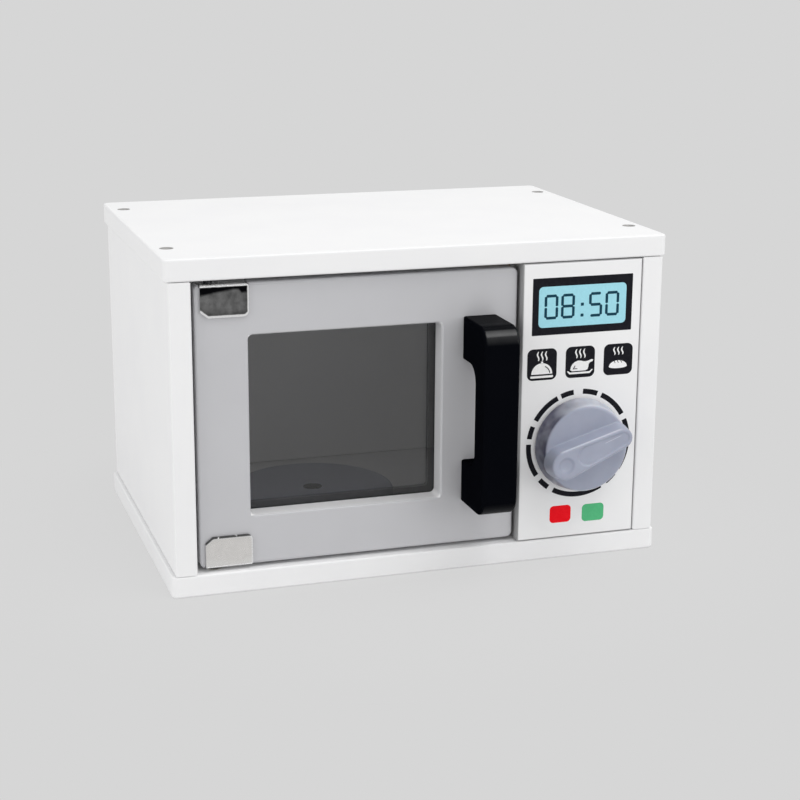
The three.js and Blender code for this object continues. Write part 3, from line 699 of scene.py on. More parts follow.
def top_edge(radius, height, edge, steps=6):
    return arc((radius - edge, height - edge), edge, 0, 1, steps)


def ring_profile(bore, radius, thick, edge=0.2 * MM, mouth=None):
    """A flat ring, rounded along its free edge. Mouth holds points for a bore that opens out."""
    return [(bore, 0), (radius, 0), *top_edge(radius, thick, edge), *(mouth or [(bore, thick)]), (bore, 0)]


# Repeats


class Pattern(Nodes):
    """A Geometry Nodes tree with named inputs that runs on points."""

    family = "GeometryNode"

    def __init__(self, name, **inputs):
        super().__init__(bpy.data.node_groups.new(name, "GeometryNodeTree"))
        face = self.tree.interface
        face.new_socket("Geometry", in_out="OUTPUT", socket_type="NodeSocketGeometry")
        face.new_socket("Points", in_out="INPUT", socket_type="NodeSocketGeometry")
        kinds = {float: "Float", int: "Int", bpy.types.Material: "Material", bpy.types.Object: "Object"}
        self.values = inputs
        self.ids = {}
        for label, value in inputs.items():
            socket = face.new_socket(label, in_out="INPUT", socket_type="NodeSocket" + kinds[type(value)])
            self.ids[label] = socket.identifier
        self.entry = self.tree.nodes.new("NodeGroupInput")

    def given(self, label):
        return Wire(self, self.entry.outputs[label])

    def vector(self, x, y, z):
        return self.node("ShaderNodeCombineXYZ", {}, {0: x, 1: y, 2: z})

    def attribute(self, label):
        return self.node("InputNamedAttribute", {"data_type": "FLOAT_VECTOR"}, {"Name": label})

    def lifted(self, geometry, height):
        rise = self.vector(0.0, 0.0, height)
        return self.node("Transform", {}, {"Geometry": geometry, "Translation": rise})

    def joined(self, shapes):
        return self.node("MeshBoolean", {"operation": "UNION", "solver": "EXACT"}, {"Mesh 2": shapes})

    def cut(self, shape, tool):
        return self.node("MeshBoolean", {"operation": "DIFFERENCE", "solver": "EXACT"}, {
            "Mesh 1": shape, "Mesh 2": tool})

    def repeated(self, shape):
        """The shape on every point, turned and stretched as the point says."""
        turn = self.node("FunctionNodeEulerToRotation", {}, {0: self.attribute("turn")})
        return self.node("InstanceOnPoints", {}, {
            "Points": self.given("Points"), "Instance": shape, "Rotation": turn,
            "Scale": self.attribute("stretch")})

    def close(self, geometry):
        real = self.node("RealizeInstances", {}, {"Geometry": geometry})
        painted = self.node("SetMaterial", {}, {"Geometry": real, "Material": self.given("finish")})
        self.node("NodeGroupOutput", {}, {"Geometry": painted}, out=None)
        return self

    def run(self, name, points, **changes):
        """The mesh that the tree makes on points of place, turn and stretch."""
        places, turns, stretches = zip(*points)
        mesh = bpy.data.meshes.new(name)
        mesh.from_pydata(places, [], [])
        for label, vectors in (("turn", turns), ("stretch", stretches)):
            layer = mesh.attributes.new(label, "FLOAT_VECTOR", "POINT")
            for item, vector in zip(layer.data, vectors):
                item.vector = vector
        carrier = placed(name, mesh)
        modifier = carrier.modifiers.new(name, "NODES")
        modifier.node_group = self.tree
        for label, value in {**self.values, **changes}.items():
            modifier[self.ids[label]] = value
        made = settled(carrier)
        bpy.data.objects.remove(carrier)
        return made


SCREW_SIZES = (
    "head_radius", "head_height", "shank_radius", "length", "recess_width", "recess_span", "recess_depth")
SCREW_TIP = 0.2 * MM


def screw_sizes(*sizes_mm):
    """A screw's sizes by name, from millimetres in the order above."""
    return {name: size * MM for name, size in zip(SCREW_SIZES, sizes_mm)}


BOARD_SCREW = screw_sizes(2.5, 1.8, 1.4, 26, 0.6, 2.8, 0.9)
TURNTABLE_SCREW = screw_sizes(4, 2.4, 2, 10, 0.9, 4.2, 1.3)
PANE_SCREW = screw_sizes(2.3, 1.5, 1, 7.5, 0.55, 2.4, 0.8)
CLIP_SCREW = screw_sizes(2.3, 1.5, 1.1, 5.5, 0.55, 2.4, 0.8)
HANDLE_SCREW = screw_sizes(3.4, 2, 1.6, 22, 0.8, 3.6, 1.1)
STRIKE_SCREW = screw_sizes(2, 0.9, 0.8, 5, 0.45, 2, 0.5)
KNOB_SCREW = screw_sizes(3.8, 2.2, 1.5, 13, 0.8, 3.8, 1.2)


def screw_pattern(name, domed):
    """A screw with a cross recess: its head is at the point, its tip down -Z."""
    tree = Pattern(name, finish=ZINC, **BOARD_SCREW)
    radius, height, shank_radius, length, width, span, depth = (tree.given(size) for size in SCREW_SIZES)
    if domed:
        ball = tree.node("MeshUVSphere", {}, {"Segments": 48, "Rings": 32, "Radius": radius})
        squash = tree.vector(1.0, 1.0, height / radius)
        whole = tree.node("Transform", {}, {"Geometry": ball, "Scale": squash})
        under = tree.node("MeshCylinder", {}, {"Vertices": 48, "Radius": radius * 1.1, "Depth": height})
        head = tree.cut(whole, tree.lifted(under, height * -0.5))
    else:
        cone = tree.node("MeshCone", {}, {
            "Vertices": 48, "Radius Top": radius, "Radius Bottom": shank_radius, "Depth": height})
        head = tree.lifted(cone, height * -1.0)
    shank = tree.node("MeshCone", {}, {
        "Vertices": 32, "Radius Top": shank_radius, "Radius Bottom": SCREW_TIP, "Depth": length})
    screw = tree.joined([head, tree.lifted(shank, length * -1.0)])
    bars = [tree.node("MeshCube", {}, {"Size": tree.vector(x, y, depth * 2.0)})
            for x, y in ((span, width), (width, span))]
    cross = tree.lifted(tree.joined(bars), height if domed else 0.0)
    return tree.close(tree.repeated(tree.cut(screw, cross)))


SUNK_SCREW = screw_pattern("sunk_screw", domed=False)
DOME_SCREW = screw_pattern("dome_screw", domed=True)
# The axis that a screw's head faces along, the way along it, and how the screw is turned
FACINGS = {"up": (Z, 1, (0, 0, 0)), "down": (Z, -1, (math.pi, 0, 0)), "back": (Y, 1, (-QUARTER, 0, 0))}


def screws(name, pattern, sizes, nodes, body, facing, turns, finish=ZINC):
    """Screws in place of CAD ones: the head's plane and axis come from each node's box."""
    top = sizes["head_height"] if pattern is DOME_SCREW else 0.0
    axis, way, lean = FACINGS[facing]
    points = []
    for node, turn in zip(nodes, turns):
        low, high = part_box(node)
        spot = (low + high) / 2
        spot[axis] = (high if way > 0 else low)[axis] - way * top
        spin = Euler(lean).to_matrix() @ Matrix.Rotation(math.radians(turn), 3, "Z")
        points.append((tuple(spot), tuple(spin.to_euler()), (1, 1, 1)))
    piece(name, pattern.run(name, points, **sizes), finish, body, nodes, weighted=False)


# Cabinet

ARRIS = 0.8 * MM
CABINET_SCREWS = ["front_left", "front_right", "rear_left", "rear_right"]
SEAT_GAP, SEAT_WALL, SEAT_OVERRUN, SEAT_DEPTH = 0.3 * MM, 0.4 * MM, 3 * MM, 12 * MM
BUSH_GAP, BUSH_OVERRUN, BUSH_DEEPER = 0.15 * MM, MM, 0.1 * MM


def seat_tools(side):
    """What cuts the countersinks and the bush's hole in the top or the bottom board."""
    up = side == "top"
    turns = [] if up else [OVER]
    wide, narrow = (BOARD_SCREW[size] + SEAT_GAP for size in ("head_radius", "shank_radius"))
    tools = []
    for name in CABINET_SCREWS:
        node = f"{side}_screw_{name}"
        low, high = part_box(node)
        head = high.z if up else -low.z
        over, foot = head + SEAT_OVERRUN, head - SEAT_DEPTH
        cutter = lathed([(0, over), (wide, over), (wide, head - SEAT_WALL),
                         (narrow, head - BOARD_SCREW["head_height"]), (narrow, foot), (0, foot)], 64)
        tools.append(moved(cutter, *turns, to=(*middle(node)[:2], 0)))
    bush = "upper_pivot_bush" if up else "lower_pivot_bush"
    low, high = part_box(bush)
    below, above = (BUSH_OVERRUN, BUSH_DEEPER) if up else (BUSH_DEEPER, BUSH_OVERRUN)
    hole = drill(round_size(bush, Z)[0] + BUSH_GAP, low.z - below, high.z + above)
    return [*tools, moved(hole, to=(*middle(bush)[:2], 0))]


def knob_bore(inset):
    """The hole in the control panel for the knob's stem."""
    return [circle(knob_x, KNOB_Z, 4.3 * MM + inset, 64)]


drilled_white = white_paint("drilled_white_paint", bare_and_shaded_seats)
for side in ("top", "bottom"):
    node = f"{side}_board"
    mesh = worked(node, board(node, Z, 2.5 * MM, ARRIS), seat_tools(side))
    piece(f"painted_{node}", mesh, drilled_white, "cabinet", [node])
for node, normal in (("left_side_board", X), ("right_side_board", X), ("back_board", Y)):
    mesh = mesh_of(node, board(node, normal, 0.0, ARRIS))
    piece(f"painted_{node}", mesh, WHITE, "cabinet", [node])

knob_x = middle("control_panel")[0]
panel_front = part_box("control_panel")[0].y
mesh = mesh_of("control_panel", board("control_panel", Y, 0.6 * MM, 0.7 * MM, knob_bore))
# The panel's white, with painted shade in the seam round it
seam_shaded_white = white_paint("panel_white_paint", painted_seam_shade)
piece("painted_control_panel", mesh, seam_shaded_white, "cabinet", ["control_panel"])

for side, facing in (("top", "up"), ("bottom", "down")):
    nodes = [f"{side}_screw_{name}" for name in CABINET_SCREWS]
    screws(f"{side}_screws", SUNK_SCREW, BOARD_SCREW, nodes, "cabinet", facing, (12, 57, 31, 78))

BUSH_BORE, BUSH_FLOOR, BUSH_EDGE = 2.0 * MM, 0.8 * MM, 0.2 * MM
for side, facing in (("upper", "up"), ("lower", "down")):
    node = f"{side}_pivot_bush"
    outer, height = round_size(node, Z)
    profile = [(BUSH_BORE, 0), *foot_edge(outer, BUSH_EDGE), (outer, height), (0, height),
               (0, height - BUSH_FLOOR), (BUSH_BORE, height - BUSH_FLOOR), (BUSH_BORE, 0)]
    turned(f"{side}_nylon_bush", node, profile, facing, NYLON, "cabinet", 64)

MAGNET_GAP, MAGNET_POCKET, MAGNET_EDGE = 0.2 * MM, 4.3 * MM, 0.4 * MM
magnet_x, _, magnet_z = middle("catch_magnet")
magnet_radius, magnet_depth = round_size("catch_magnet", Y)
pocket = moved(drill(magnet_radius + MAGNET_GAP, -MM, MAGNET_POCKET), TO_BACK,
               to=(magnet_x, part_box("door_stop_block")[0].y, magnet_z))
mesh = worked("door_stop_block", board("door_stop_block", Y, ARRIS, 0.6 * MM), [pocket])
piece("wooden_stop_block", mesh, WOOD, "cabinet", ["door_stop_block"])
profile = [(0, 0), *foot_edge(magnet_radius, MAGNET_EDGE), (magnet_radius, magnet_depth), (0, magnet_depth)]
turned("round_magnet", "catch_magnet", profile, "back", MAGNET, "cabinet")

# Turntable

DISC_BORE, DISC_EDGE = 2.3 * MM, 1.2 * MM
RECESS_RADIUS, RECESS_DEPTH, RECESS_LIP = 4.3 * MM, 3 * MM, 0.2 * MM
radius, thick = round_size("turntable_disc", Z)
floor_height = thick - RECESS_DEPTH
profile = [(DISC_BORE, 0), *foot_edge(radius, DISC_EDGE), *top_edge(radius, thick, DISC_EDGE),
           (RECESS_RADIUS + RECESS_LIP, thick), (RECESS_RADIUS, thick - RECESS_LIP),
           (RECESS_RADIUS, floor_height), (DISC_BORE, floor_height), (DISC_BORE, 0)]
turned("painted_turntable", "turntable_disc", profile, "up", DISC, "turntable", 160)
profile = ring_profile(DISC_BORE, *round_size("turntable_washer", Z))
turned("nylon_turntable_washer", "turntable_washer", profile, "up", NYLON, "cabinet",
       axis=middle("turntable_disc"))
screws("turntable_pivot_screw", DOME_SCREW, TURNTABLE_SCREW, ["turntable_screw"], "cabinet", "up", (20,),
       BLACK_STEEL)

# Door

door_low, door_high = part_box("door_frame")
window_low = (door_low.x + 21.3 * MM, door_low.z + 20.7 * MM)
window_high = (door_high.x - 32.6 * MM, door_high.z - 21.1 * MM)
pin_x = middle("upper_pivot_pin")[0]
pin_y = middle("door_frame")[1]
CLIP_SHEET, CLIP_GAP, CLIP_BEND, CLIP_TURN, CLIP_NOTCH = 0.9 * MM, 0.2 * MM, 1.1 * MM, 2.2 * MM, 0.8 * MM
CLIP_SEAT, CLIP_SEAT_GAP = 3 * MM, 0.3 * MM
PIN_HEAD_RADIUS, PIN_HEAD_DEPTH = 2.9 * MM, 1.3 * MM


def window(inset):
    """The door's opening, its arris a little shallower than the door's own."""
    inset *= 0.8
    return [rounded(*grown(window_low, window_high, inset), 2 * MM + inset, 12)]


def clip_seat(side):
    """What lets a hinge clip and its pin's head into the door's edge."""
    out, edge, turns = (1, door_high.z, []) if side == "upper" else (-1, door_low.z, [OVER])
    low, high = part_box(f"{side}_hinge_clip")
    seat = edge - out * (CLIP_GAP + CLIP_SHEET)
    left, right = low.x - CLIP_SEAT_GAP, high.x + CLIP_SEAT_GAP
    front, back = door_low.y - MM, door_high.y + MM
    rebate = sheet([(left, front), (right, front), (right, back), (left, back)], CLIP_SEAT)
    moved(rebate, to=(0, 0, min(seat, seat + out * CLIP_SEAT)))
    hole = drill(PIN_HEAD_RADIUS, -PIN_HEAD_DEPTH, MM, 48)
    return [rebate, moved(hole, *turns, to=(pin_x, pin_y, seat))]


# The door's grey, with painted light on the window's cut edges
grey = sprayed_paint("grey_paint", paint(196, 196, 199), paint(191, 191, 194), 0.28, painted_light_on_cut_edges)
shape = board("door_frame", Y, 2.5 * MM, 1.0 * MM, window, 8, 6)
mesh = worked("door_frame", shape, clip_seat("upper") + clip_seat("lower"))
piece("painted_door", mesh, grey, "door", ["door_frame"])
mesh = mesh_of("door_pane", board("door_pane", Y, 2 * MM, 0.3 * MM, arris_steps=3))
piece("smoked_pane", mesh, smoked_sheet(), "door", ["door_pane"])

nodes = [f"pane_screw_{row}_{side}" for row in ("lower", "upper") for side in ("left", "right")]
screws("pane_screws", DOME_SCREW, PANE_SCREW, nodes, "door", "back", (10, 40, 70, 25))
nodes = ["handle_screw_upper", "handle_screw_lower"]
screws("handle_screws", DOME_SCREW, HANDLE_SCREW, nodes, "door", "back", (35, 80))

handle_low, handle_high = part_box("door_handle")
HANDLE_NOSE, HANDLE_FOOT, HANDLE_FILLET, FINGER_ROOM = 8 * MM, 18 * MM, 7 * MM, 15 * MM


def handle_loops(inset):
    """The handle's side outline: out from the door across, height up."""
    reach, half = handle_high.y - handle_low.y - inset, (handle_high.z - handle_low.z) / 2
    top, nose, finger = half - inset, HANDLE_NOSE - inset, FINGER_ROOM + inset
    foot, fillet = half - HANDLE_FOOT + inset, HANDLE_FILLET + inset
    height = middle("door_handle")[2]
    upper = arc((reach - nose, top - nose), nose, 0, 1, 12) + [(inset, top), (inset, foot)]
    upper += arc((finger - fillet, foot - fillet), fillet, 1, 0, 12)
    lower = [(across, -up) for across, up in reversed(upper)]
    return [[(across, up + height) for across, up in upper + lower]]


shape = plate(handle_loops, handle_high.x - handle_low.x, 1.2 * MM, 5)
moved(shape, ON_EDGE_OUTWARDS, to=(handle_low.x, handle_high.y, 0))
piece("painted_handle", mesh_of("door_handle", shape), BLACK, "door", ["door_handle"])


def hinge_clip(side):
    """A folded sheet round the door's edge: a channel trimmed to its face outline."""
    node = f"{side}_hinge_clip"
    low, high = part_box(node)
    out, web, lip = (1, high.z, low.z) if side == "upper" else (-1, low.z, high.z)
    outer, inner, inner_web = (high.y - low.y) / 2, (high.y - low.y) / 2 - CLIP_SHEET, web - out * CLIP_SHEET
    right = [(outer, lip), *arc((outer - CLIP_BEND, web - out * CLIP_BEND), CLIP_BEND, 0, out, 8)]
    left = [(-y, z) for y, z in reversed(right)]
    section = right + left + [(-inner, lip), (-inner, inner_web), (inner, inner_web), (inner, lip)]
    cut_x, cut_z = (size * MM for size in CLIP_CHAMFER)
    over, notch = web + out * MM, high.x - CLIP_NOTCH
    face = [(low.x, over), (low.x, lip + out * cut_z), (low.x + cut_x, lip)]
    face += arc((high.x - CLIP_TURN, lip + out * CLIP_TURN), CLIP_TURN, -out, 0, 8)
    face += [(high.x, web - out * CLIP_NOTCH), (notch, web + out * 0.02 * MM), (notch, over)]
    channel = moved(sheet(section, high.x - low.x), ON_EDGE, to=(low.x, middle(node)[1], 0))
    trim = moved(sheet(face, 20 * MM), TO_FRONT, to=(0, high.y + 5 * MM, 0))
    mesh = worked(node, channel, [trim], "INTERSECT", bevel=0.3 * MM, angle=50)
    finish = clip_nickel_painted_light(f"{side}_clip_nickel", node, out, *CLIP_LIT_AND_SHADED_TONES[side])
    piece(f"folded_{node}", mesh, finish, "door", [node])


PIN_RADIUS, PIN_CHAMFER, PIN_HEAD, PIN_EDGE = 1.7 * MM, 0.4 * MM, MM, 0.2 * MM
for side, facing, finish in (("upper", "up", SHADED_ZINC), ("lower", "down", ZINC)):
    hinge_clip(side)
    node = f"{side}_pivot_pin"
    head, reach = round_size(node, Z)
    profile = [(0, 0), *foot_edge(head, PIN_EDGE), (head, PIN_HEAD), (PIN_RADIUS, PIN_HEAD),
               *top_edge(PIN_RADIUS, reach, PIN_CHAMFER), (0, reach)]
    turned(f"{side}_steel_pin", node, profile, facing, finish, "door", 64)
nodes = ["upper_clip_screw", "lower_clip_screw"]
screws("clip_screws", DOME_SCREW, CLIP_SCREW, nodes, "door", "back", (15, 62))

STRIKE_BORE, STRIKE_MOUTH, STRIKE_SINK = 1.1 * MM, 2.35 * MM, 0.95 * MM
radius, thick = round_size("strike_plate", Y)
mouth = [(STRIKE_MOUTH, thick), (STRIKE_BORE, thick - STRIKE_SINK)]
profile = ring_profile(STRIKE_BORE, radius, thick, 0.3 * MM, mouth)
turned("steel_strike_plate", "strike_plate", profile, "back", ZINC, "door")
screws("strike_plate_screw", SUNK_SCREW, STRIKE_SCREW, ["strike_screw"], "door", "back", (33,))

# Timer knob

# From the panel's face to the skirt's back edge, to the knob's face and to the top of its bar
KNOB_BACK, KNOB_FACE, KNOB_RISE = 0.6 * MM, 9 * MM, 7 * MM
KNOB_EDGE, KNOB_WALL, KNOB_STEM = 1.6 * MM, 2 * MM, 4 * MM
SKIRT_BACK, SKIRT_FRONT = 20 * MM, 18.9 * MM
# The bar's two round ends, and how far their middles lie from the knob's axis
BAR_WIDE, BAR_NARROW, BAR_WIDE_REACH, BAR_NARROW_REACH = 6.4 * MM, 4.4 * MM, 12.6 * MM, 14.4 * MM
BAR_DRAFT, BAR_EDGE = 0.8 * MM, 0.9 * MM
DISH_RADIUS, DISH_DEPTH = 3.6 * MM, 0.9 * MM
TRACK_DEPTH, TRACK_NARROWER, TRACK_GAP, TRACK_TOOL = 0.5 * MM, 1.5 * MM, 2.2 * MM, 1.5 * MM
WASHER_BORE = 1.8 * MM
VOXEL = 0.26 * MM


def knob_profile():
    """The shell's section: stem, hollow back, drafted skirt and rounded front edge."""
    stem_end = panel_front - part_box("timer_knob")[1].y
    inner_face = KNOB_FACE - KNOB_WALL
    return [
        (0, stem_end), (KNOB_STEM, stem_end), (KNOB_STEM, inner_face), (SKIRT_FRONT - KNOB_WALL, inner_face),
        (SKIRT_BACK - KNOB_WALL, KNOB_BACK), (SKIRT_BACK, KNOB_BACK),
        *top_edge(SKIRT_FRONT, KNOB_FACE, KNOB_EDGE, 8), (0, KNOB_FACE),
    ]


def bar_outline(wide, narrow, wide_reach, narrow_reach, steps=20):
    """Two round ends and the straight lines that touch both."""
    lean = math.asin((wide - narrow) / (wide_reach + narrow_reach)) / QUARTER
    return (arc((narrow_reach, 0), narrow, lean - 1, 1 - lean, steps)
            + arc((-wide_reach, 0), wide, 1 - lean, 3 + lean, steps))


def knob_dish(face):
    """The tool for the round hollow in the bar's wide end."""
    sphere = (DISH_RADIUS ** 2 + DISH_DEPTH ** 2) / (2 * DISH_DEPTH)
    span = math.asin(DISH_RADIUS / sphere) / QUARTER
    foot = face - DISH_DEPTH
    hollow = arc((0, foot + sphere), sphere, -1, -1 + span, 10)[1:]
    return moved(lathed([(0, foot), *hollow, (DISH_RADIUS, face + MM), (0, face + MM)], 64),
                 to=(-BAR_WIDE_REACH, 0, 0))


def knob_track(face):
    """The tool for the long shallow hollow beside the dish."""
    reach = BAR_WIDE_REACH - DISH_RADIUS - TRACK_GAP - BAR_NARROW
    outline = bar_outline(BAR_NARROW, BAR_NARROW - TRACK_NARROWER, reach, BAR_NARROW_REACH)
    return moved(sheet(outline, TRACK_TOOL), to=(0, 0, face - TRACK_DEPTH))


def timer_knob():
    """The shell and its bar, hollowed and then melted together as a moulding is."""
    layers = [(BAR_DRAFT, -MM), (BAR_DRAFT, 0)] + arc((-BAR_EDGE, KNOB_RISE - BAR_EDGE), BAR_EDGE, 0, 1, 6)
    bar = skin([[(x, y, KNOB_FACE + height) for x, y in
                 bar_outline(BAR_WIDE + grow, BAR_NARROW + grow, BAR_WIDE_REACH, BAR_NARROW_REACH)]
                for grow, height in layers])
    shape = bmesh.new()
    shape.from_mesh(worked("knob", lathed(knob_profile(), 128), [bar], "UNION"))
    face = KNOB_FACE + KNOB_RISE
    made = placed("knob_model", worked("knob", shape, [knob_dish(face), knob_track(face)]))
    remesh = made.modifiers.new("remesh", "REMESH")
    remesh.mode, remesh.voxel_size, remesh.use_smooth_shade = "VOXEL", VOXEL, True
    smooth = made.modifiers.new("smooth", "SMOOTH")
    smooth.factor, smooth.iterations = 0.5, 3
    mesh = settled(made)
    bpy.data.objects.remove(made)
    mesh.transform(Matrix.Rotation(math.radians(BAR_ANGLE), 4, "Z"))
    mesh.transform(TO_FRONT)
    mesh.transform(Matrix.Translation((knob_x, panel_front, KNOB_Z)))
    piece("moulded_timer_knob", mesh, PLASTIC, "knob", ["timer_knob"], weighted=False)


timer_knob()
profile = ring_profile(WASHER_BORE, *round_size("knob_washer", Y))
turned("steel_knob_washer", "knob_washer", profile, "back", ZINC, "knob",
       axis=(knob_x, 0, KNOB_Z))
screws("knob_rear_screw", DOME_SCREW, KNOB_SCREW, ["knob_screw"], "knob", "back", (48,))

# Prints on the control panel

FILM = 0.05 * MM


def printed(name, outlines, finish, layer=0):
    """Flat closed films of ink on the panel's face, drawn in millimetres."""
    shape = bmesh.new()
    for outline in outlines:
        film = mesh_of("film", sheet([(x * MM, z * MM) for x, z in outline], FILM))
        shape.from_mesh(film)
        bpy.data.meshes.remove(film)
    moved(shape, TO_FRONT, to=(0, panel_front + (0.4 - 0.8 * layer) * FILM, 0))
    piece(name, mesh_of(name, shape, smooth=False), finish, "cabinet", weighted=False)


def repeated_print(name, outline, points, finish):
    """One film of ink, drawn round the origin in millimetres, on every point."""
    film = moved(sheet(outline, FILM / MM), Matrix.Diagonal((MM, MM, MM, 1)), TO_FRONT)
    model = placed(f"{name}_model", mesh_of(f"{name}_model", film, smooth=False))
    tree = Pattern(name, model=model, finish=finish)
    shape = tree.node("ObjectInfo", {}, {"Object": tree.given("model")}, out="Geometry")
    mesh = tree.close(tree.repeated(shape)).run(name, points)
    bpy.data.objects.remove(model)
    piece(name, mesh, finish, "cabinet", weighted=False)


printed("display_frame", [rounded((46.2, 98.4), (91.0, 122.4), 0.3)], INK_BLACK, 0)
printed("display_screen", [rounded((49.0, 101.6), (88.2, 118.8), 1.9)], INK_SCREEN, 1)

DIGIT_LOW, DIGIT_HIGH, STROKE, MITRE, SEGMENT_GAP = 105.0, 115.4, 1.15, 0.08, 0.25
DIGITS = ((51.5, 57.6, "0"), (58.9, 65.0, "8"), (71.4, 77.4, "5"), (78.8, 85.0, "0"))
SEGMENTS = {"0": "abcdef", "8": "abcdefg", "5": "acdfg"}


def display_digits():
    """Seven-segment numbers: one mitred bar, repeated, turned and stretched."""
    tip, flat = STROKE / 2, 0.5 - MITRE
    bar = [(-0.5, 0), (-flat, -tip), (flat, -tip), (0.5, 0), (flat, tip), (-flat, tip)]
    points = []
    centre = (DIGIT_LOW + DIGIT_HIGH) / 2
    top, bottom = DIGIT_HIGH - tip, DIGIT_LOW + tip
    y = panel_front - 1.2 * FILM
    for left, right, digit in DIGITS:
        left, right = left + tip, right - tip
        across, up = right - left - SEGMENT_GAP, (top - bottom) / 2 - SEGMENT_GAP
        bars = {letter: ((left + right) / 2, z, 0) for letter, z in zip("agd", (top, centre, bottom))}
        for letter, x, end in zip("fbec", (left, right, left, right), (top, top, bottom, bottom)):
            bars[letter] = (x, (centre + end) / 2, 1)
        for letter in SEGMENTS[digit]:
            x, z, upright = bars[letter]
            points.append(((x * MM, y, z * MM), (0, QUARTER * upright, 0), (up if upright else across, 1, 1)))
    for z in (110.6, 106.0):
        points.append(((68.4 * MM, y, z * MM), (0, 0, 0), (1.4, 1, 1.1)))
    repeated_print("display_digits", bar, points, INK_SEGMENT)


def dial_dashes():
    """The dashes round the knob: a strip bent along the dial, one to a point."""
    tree = Pattern("dial_dashes", radius=22.6 * MM, width=2.2 * MM, thickness=FILM, facets=24,
                   finish=INK_BLACK)
    strip = tree.node("MeshGrid", {}, {
        "Size X": 1.0, "Size Y": 1.0, "Vertices X": tree.given("facets"), "Vertices Y": 2})
    spots = tree.node("InstanceOnPoints", {}, {"Points": tree.given("Points"), "Instance": strip})
    real = tree.node("RealizeInstances", {}, {"Geometry": spots})
    dash, sweep, _ = tree.axes(tree.attribute("turn"))
    along, across, _ = tree.axes(tree.node("InputPosition"))
    angle = dash + along * sweep
    reach = tree.given("radius") + across * tree.given("width")
    bent = tree.vector(reach * angle.sine(), 0.0, reach * angle.cosine())
    flat = tree.node("SetPosition", {}, {"Geometry": real, "Position": bent})
    front = tree.vector(0.0, tree.given("thickness") * -1.0, 0.0)
    solid = tree.node("ExtrudeMesh", {"mode": "FACES"}, {"Mesh": flat, "Offset": front, "Individual": False})
    back = tree.node("FlipFaces", {}, {0: flat})
    closed = tree.node("JoinGeometry", {}, {"Geometry": [solid, back]})
    welded = tree.node("MergeByDistance", {}, {"Geometry": closed, "Distance": 1e-6})
    half_turn = [(3.6, 20.8), (26, 60), (67, 81), (87, 124), (131, 144)]
    dashes = half_turn + [(-end, -start) for start, end in half_turn[1:]] + [(-21.7, -7.0), (151, 209)]
    points = [((0, 0, 0), (math.radians((start + end) / 2), math.radians(end - start), 0), (1, 1, 1))
              for start, end in dashes]
    mesh = tree.close(welded).run("dial_dashes", points)
    mesh.transform(Matrix.Translation((knob_x, panel_front + 0.4 * FILM, KNOB_Z)))
    piece("dial_dashes", mesh, INK_BLACK, "cabinet", weighted=False)


display_digits()
dial_dashes()

TILES = ((51.1, 86.0), (68.3, 86.0), (85.6, 86.0))
TILE_HALF = (6.6, 6.7)
printed("pictogram_tiles", [
    rounded((x - TILE_HALF[0], z - TILE_HALF[1]), (x + TILE_HALF[0], z + TILE_HALF[1]), 2.5) for x, z in TILES
], INK_BLACK, 0)


def around(x, z, points):
    """Points drawn round a place."""
    return [(x + across, z + up) for across, up in points]


def pictograms():
    """Plain signs for a covered dish, a roast and a loaf."""
    (dish_x, z), (roast_x, _), (loaf_x, _) = TILES
    cover, knop = oval(dish_x, z - 4.1, 4.7, 4.7, 0, 2), circle(dish_x, z + 0.9, 0.5, 20)
    tray = rounded((dish_x - 5.1, z - 5.7), (dish_x + 5.1, z - 4.7), 0.4, 4)
    roast = around(roast_x, z, (
        (-4.4, -3.3), (-4.1, -1.8), (-3.4, -0.7), (-2.4, 0.1), (-1.0, 0.6), (0.4, 0.5), (1.4, 0.2),
        (2.4, 0.1), (3.6, 0.3), (4.7, 0.7), (5.3, 0.9), (5.9, 0.6), (5.7, 0.1), (5.2, -0.2), (4.4, -0.5),
        (3.9, -1.1), (3.8, -2.2), (3.4, -3.4), (2.4, -3.8), (-3.6, -3.8)))
    plate_under = around(roast_x, z, (
        (-5.8, -3.9), (-4.7, -5.1), (4.5, -5.1), (5.8, -3.6), (5.4, -3.4), (4.3, -4.3), (-4.4, -4.3),
        (-5.5, -3.6)))
    loaf = oval(loaf_x, z - 3.1, 4.1, 2.6, 0, 2, 30) + oval(loaf_x, z - 3.1, 4.1, 0.8, 2, 4, 30)[1:-1]
    printed("pictogram_signs", [cover, knop, tray, roast, plate_under, loaf], INK_WHITE, 1)
    shine = oval(dish_x, z - 4.3, 3.8, 3.9, 0.1, 0.75, 12) + oval(dish_x, z - 4.3, 3.4, 3.5, 0.75, 0.1, 12)
    seam = around(dish_x, z, ((4.6, -4.75), (4.6, -4.6), (-4.6, -4.6), (-4.6, -4.75)))
    leg = around(roast_x, z, (
        (-3.3, -2.9), (-2.4, -1.4), (-2.1, -1.6), (-2.7, -2.7), (-1.2, -2.7), (-1.2, -3.0), (-3.3, -3.0)))
    cuts = [around(loaf_x + shift, z, ((-0.5, -0.5), (-0.2, -0.4), (0.35, -1.6), (0.1, -1.6)))
            for shift in (-1.5, 0.0, 1.5)]
    printed("pictogram_lines", [shine, seam, leg, *cuts], INK_BLACK, 2)


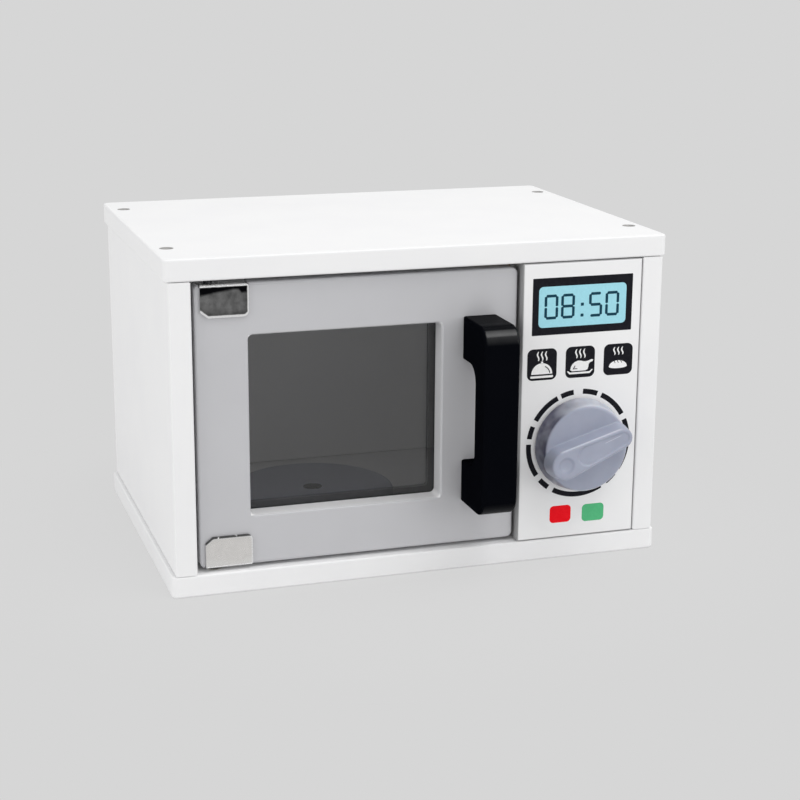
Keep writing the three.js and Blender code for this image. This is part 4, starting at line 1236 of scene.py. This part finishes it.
def steam_wisps():
    """Three wavy strokes over each sign: one stroke, repeated."""
    steps, height, sway, half_stroke = 24, 3.9, 0.32, 0.34
    left, right = [], []
    for step in range(steps + 1):
        share = step / steps
        centre = sway * math.sin(share * 4 * QUARTER + 0.4)
        stroke = half_stroke * (0.55 + 0.45 * math.sin(math.pi * share))
        left.append((centre - stroke, height * (share - 0.5)))
        right.append((centre + stroke, height * (share - 0.5)))
    points = []
    for (x, z), tall in zip(TILES, (1, 1, 0.86)):
        for shift in (-1.8, 0.0, 1.8):
            place = ((x + shift) * MM, panel_front - 0.4 * FILM, (z + 3.6) * MM)
            points.append((place, (0, 0, 0), (1, 1, tall)))
    repeated_print("steam_wisps", right + left[::-1], points, INK_WHITE)


pictograms()
steam_wisps()
printed("stop_mark", [rounded((56.5, 15.9), (66.2, 23.5), 1.8)], INK_RED)
printed("start_mark", [rounded((71.4, 15.3), (81.5, 23.0), 1.8)], INK_GREEN)

# Floor and light

BACKDROP = paint(214, 214, 214)
FLOOR_HALF, FLOOR_DROP = 40.0, 0.2 * MM


def seen_plainly(nodes):
    """One for what the eye sees, directly or by gloss or clear plastic, and nought for light."""
    path = nodes.node("LightPath", out=None)
    rays = ("Camera", "Glossy", "Transmission")
    eye, gloss, clear = (Wire(nodes, path.outputs[f"Is {ray} Ray"]) for ray in rays)
    return (eye + gloss + clear).held()


def backdrop_finish():
    """The floor: an even pale grey to the eye that still takes a faint shadow."""
    finish = Finish("backdrop", Base_Color=(0.72, 0.72, 0.72, 1), Roughness=0.9, Specular_IOR_Level=0.0)
    glow = finish.node("Emission", {}, {"Color": BACKDROP, "Strength": 1.0})
    surface = Wire(finish, finish.surface.outputs[0])
    away = finish.node("VectorMath", {"operation": "LENGTH"}, {0: finish.mm}, out="Value")
    share = seen_plainly(finish) * (0.86 + away.more_than(110, 200) * 0.14)
    mixed = finish.node("MixShader", {}, {0: share, 1: surface, 2: glow})
    finish.feed(finish.tree.nodes["Material Output"].inputs["Surface"], mixed)
    return finish.material


def softbox(name, place, size, power, aim=(0, 0, 0.07)):
    """A rectangular lamp, in metres and watts, that looks at the object."""
    lamp = bpy.data.lights.new(name, "AREA")
    lamp.shape, lamp.size, lamp.size_y, lamp.energy = "RECTANGLE", size[0], size[1], power
    holder = placed(name, lamp)
    holder.location = place
    holder.rotation_euler = (Vector(aim) - Vector(place)).to_track_quat("-Z", "Y").to_euler()


floor_mesh = bpy.data.meshes.new("floor")
floor_corners = ((-1, -1), (1, -1), (1, 1), (-1, 1))
floor_places = [(x * FLOOR_HALF, y * FLOOR_HALF, -FLOOR_DROP) for x, y in floor_corners]
floor_mesh.from_pydata(floor_places, [], [(0, 1, 2, 3)])
floor_mesh.materials.append(backdrop_finish())
floor = placed("floor", floor_mesh)

world = bpy.data.worlds.new("studio")
bpy.context.scene.world = world
world.use_nodes = True
sky = Nodes(world.node_tree)
daylight = sky.tree.nodes["Background"]
sky.feed(daylight.inputs["Color"], (1, 1, 1, 1))
sky.feed(daylight.inputs["Strength"], 0.707)
glow = sky.node("Background", {}, {"Color": BACKDROP, "Strength": 1.0})
mixed = sky.node("MixShader", {}, {0: seen_plainly(sky), 1: Wire(sky, daylight.outputs[0]), 2: glow})
sky.feed(sky.tree.nodes["World Output"].inputs["Surface"], mixed)

softbox("overhead", (0.44, -0.45, 1.39), (1.2, 0.75), 8.1)
softbox("front", (1.0, -1.2, 0.45), (0.6, 0.6), 2.9)
softbox("left", (-1.5, -0.5, 0.6), (0.9, 0.9), 6.2)

bpy.context.scene.view_settings.view_transform = "Standard"
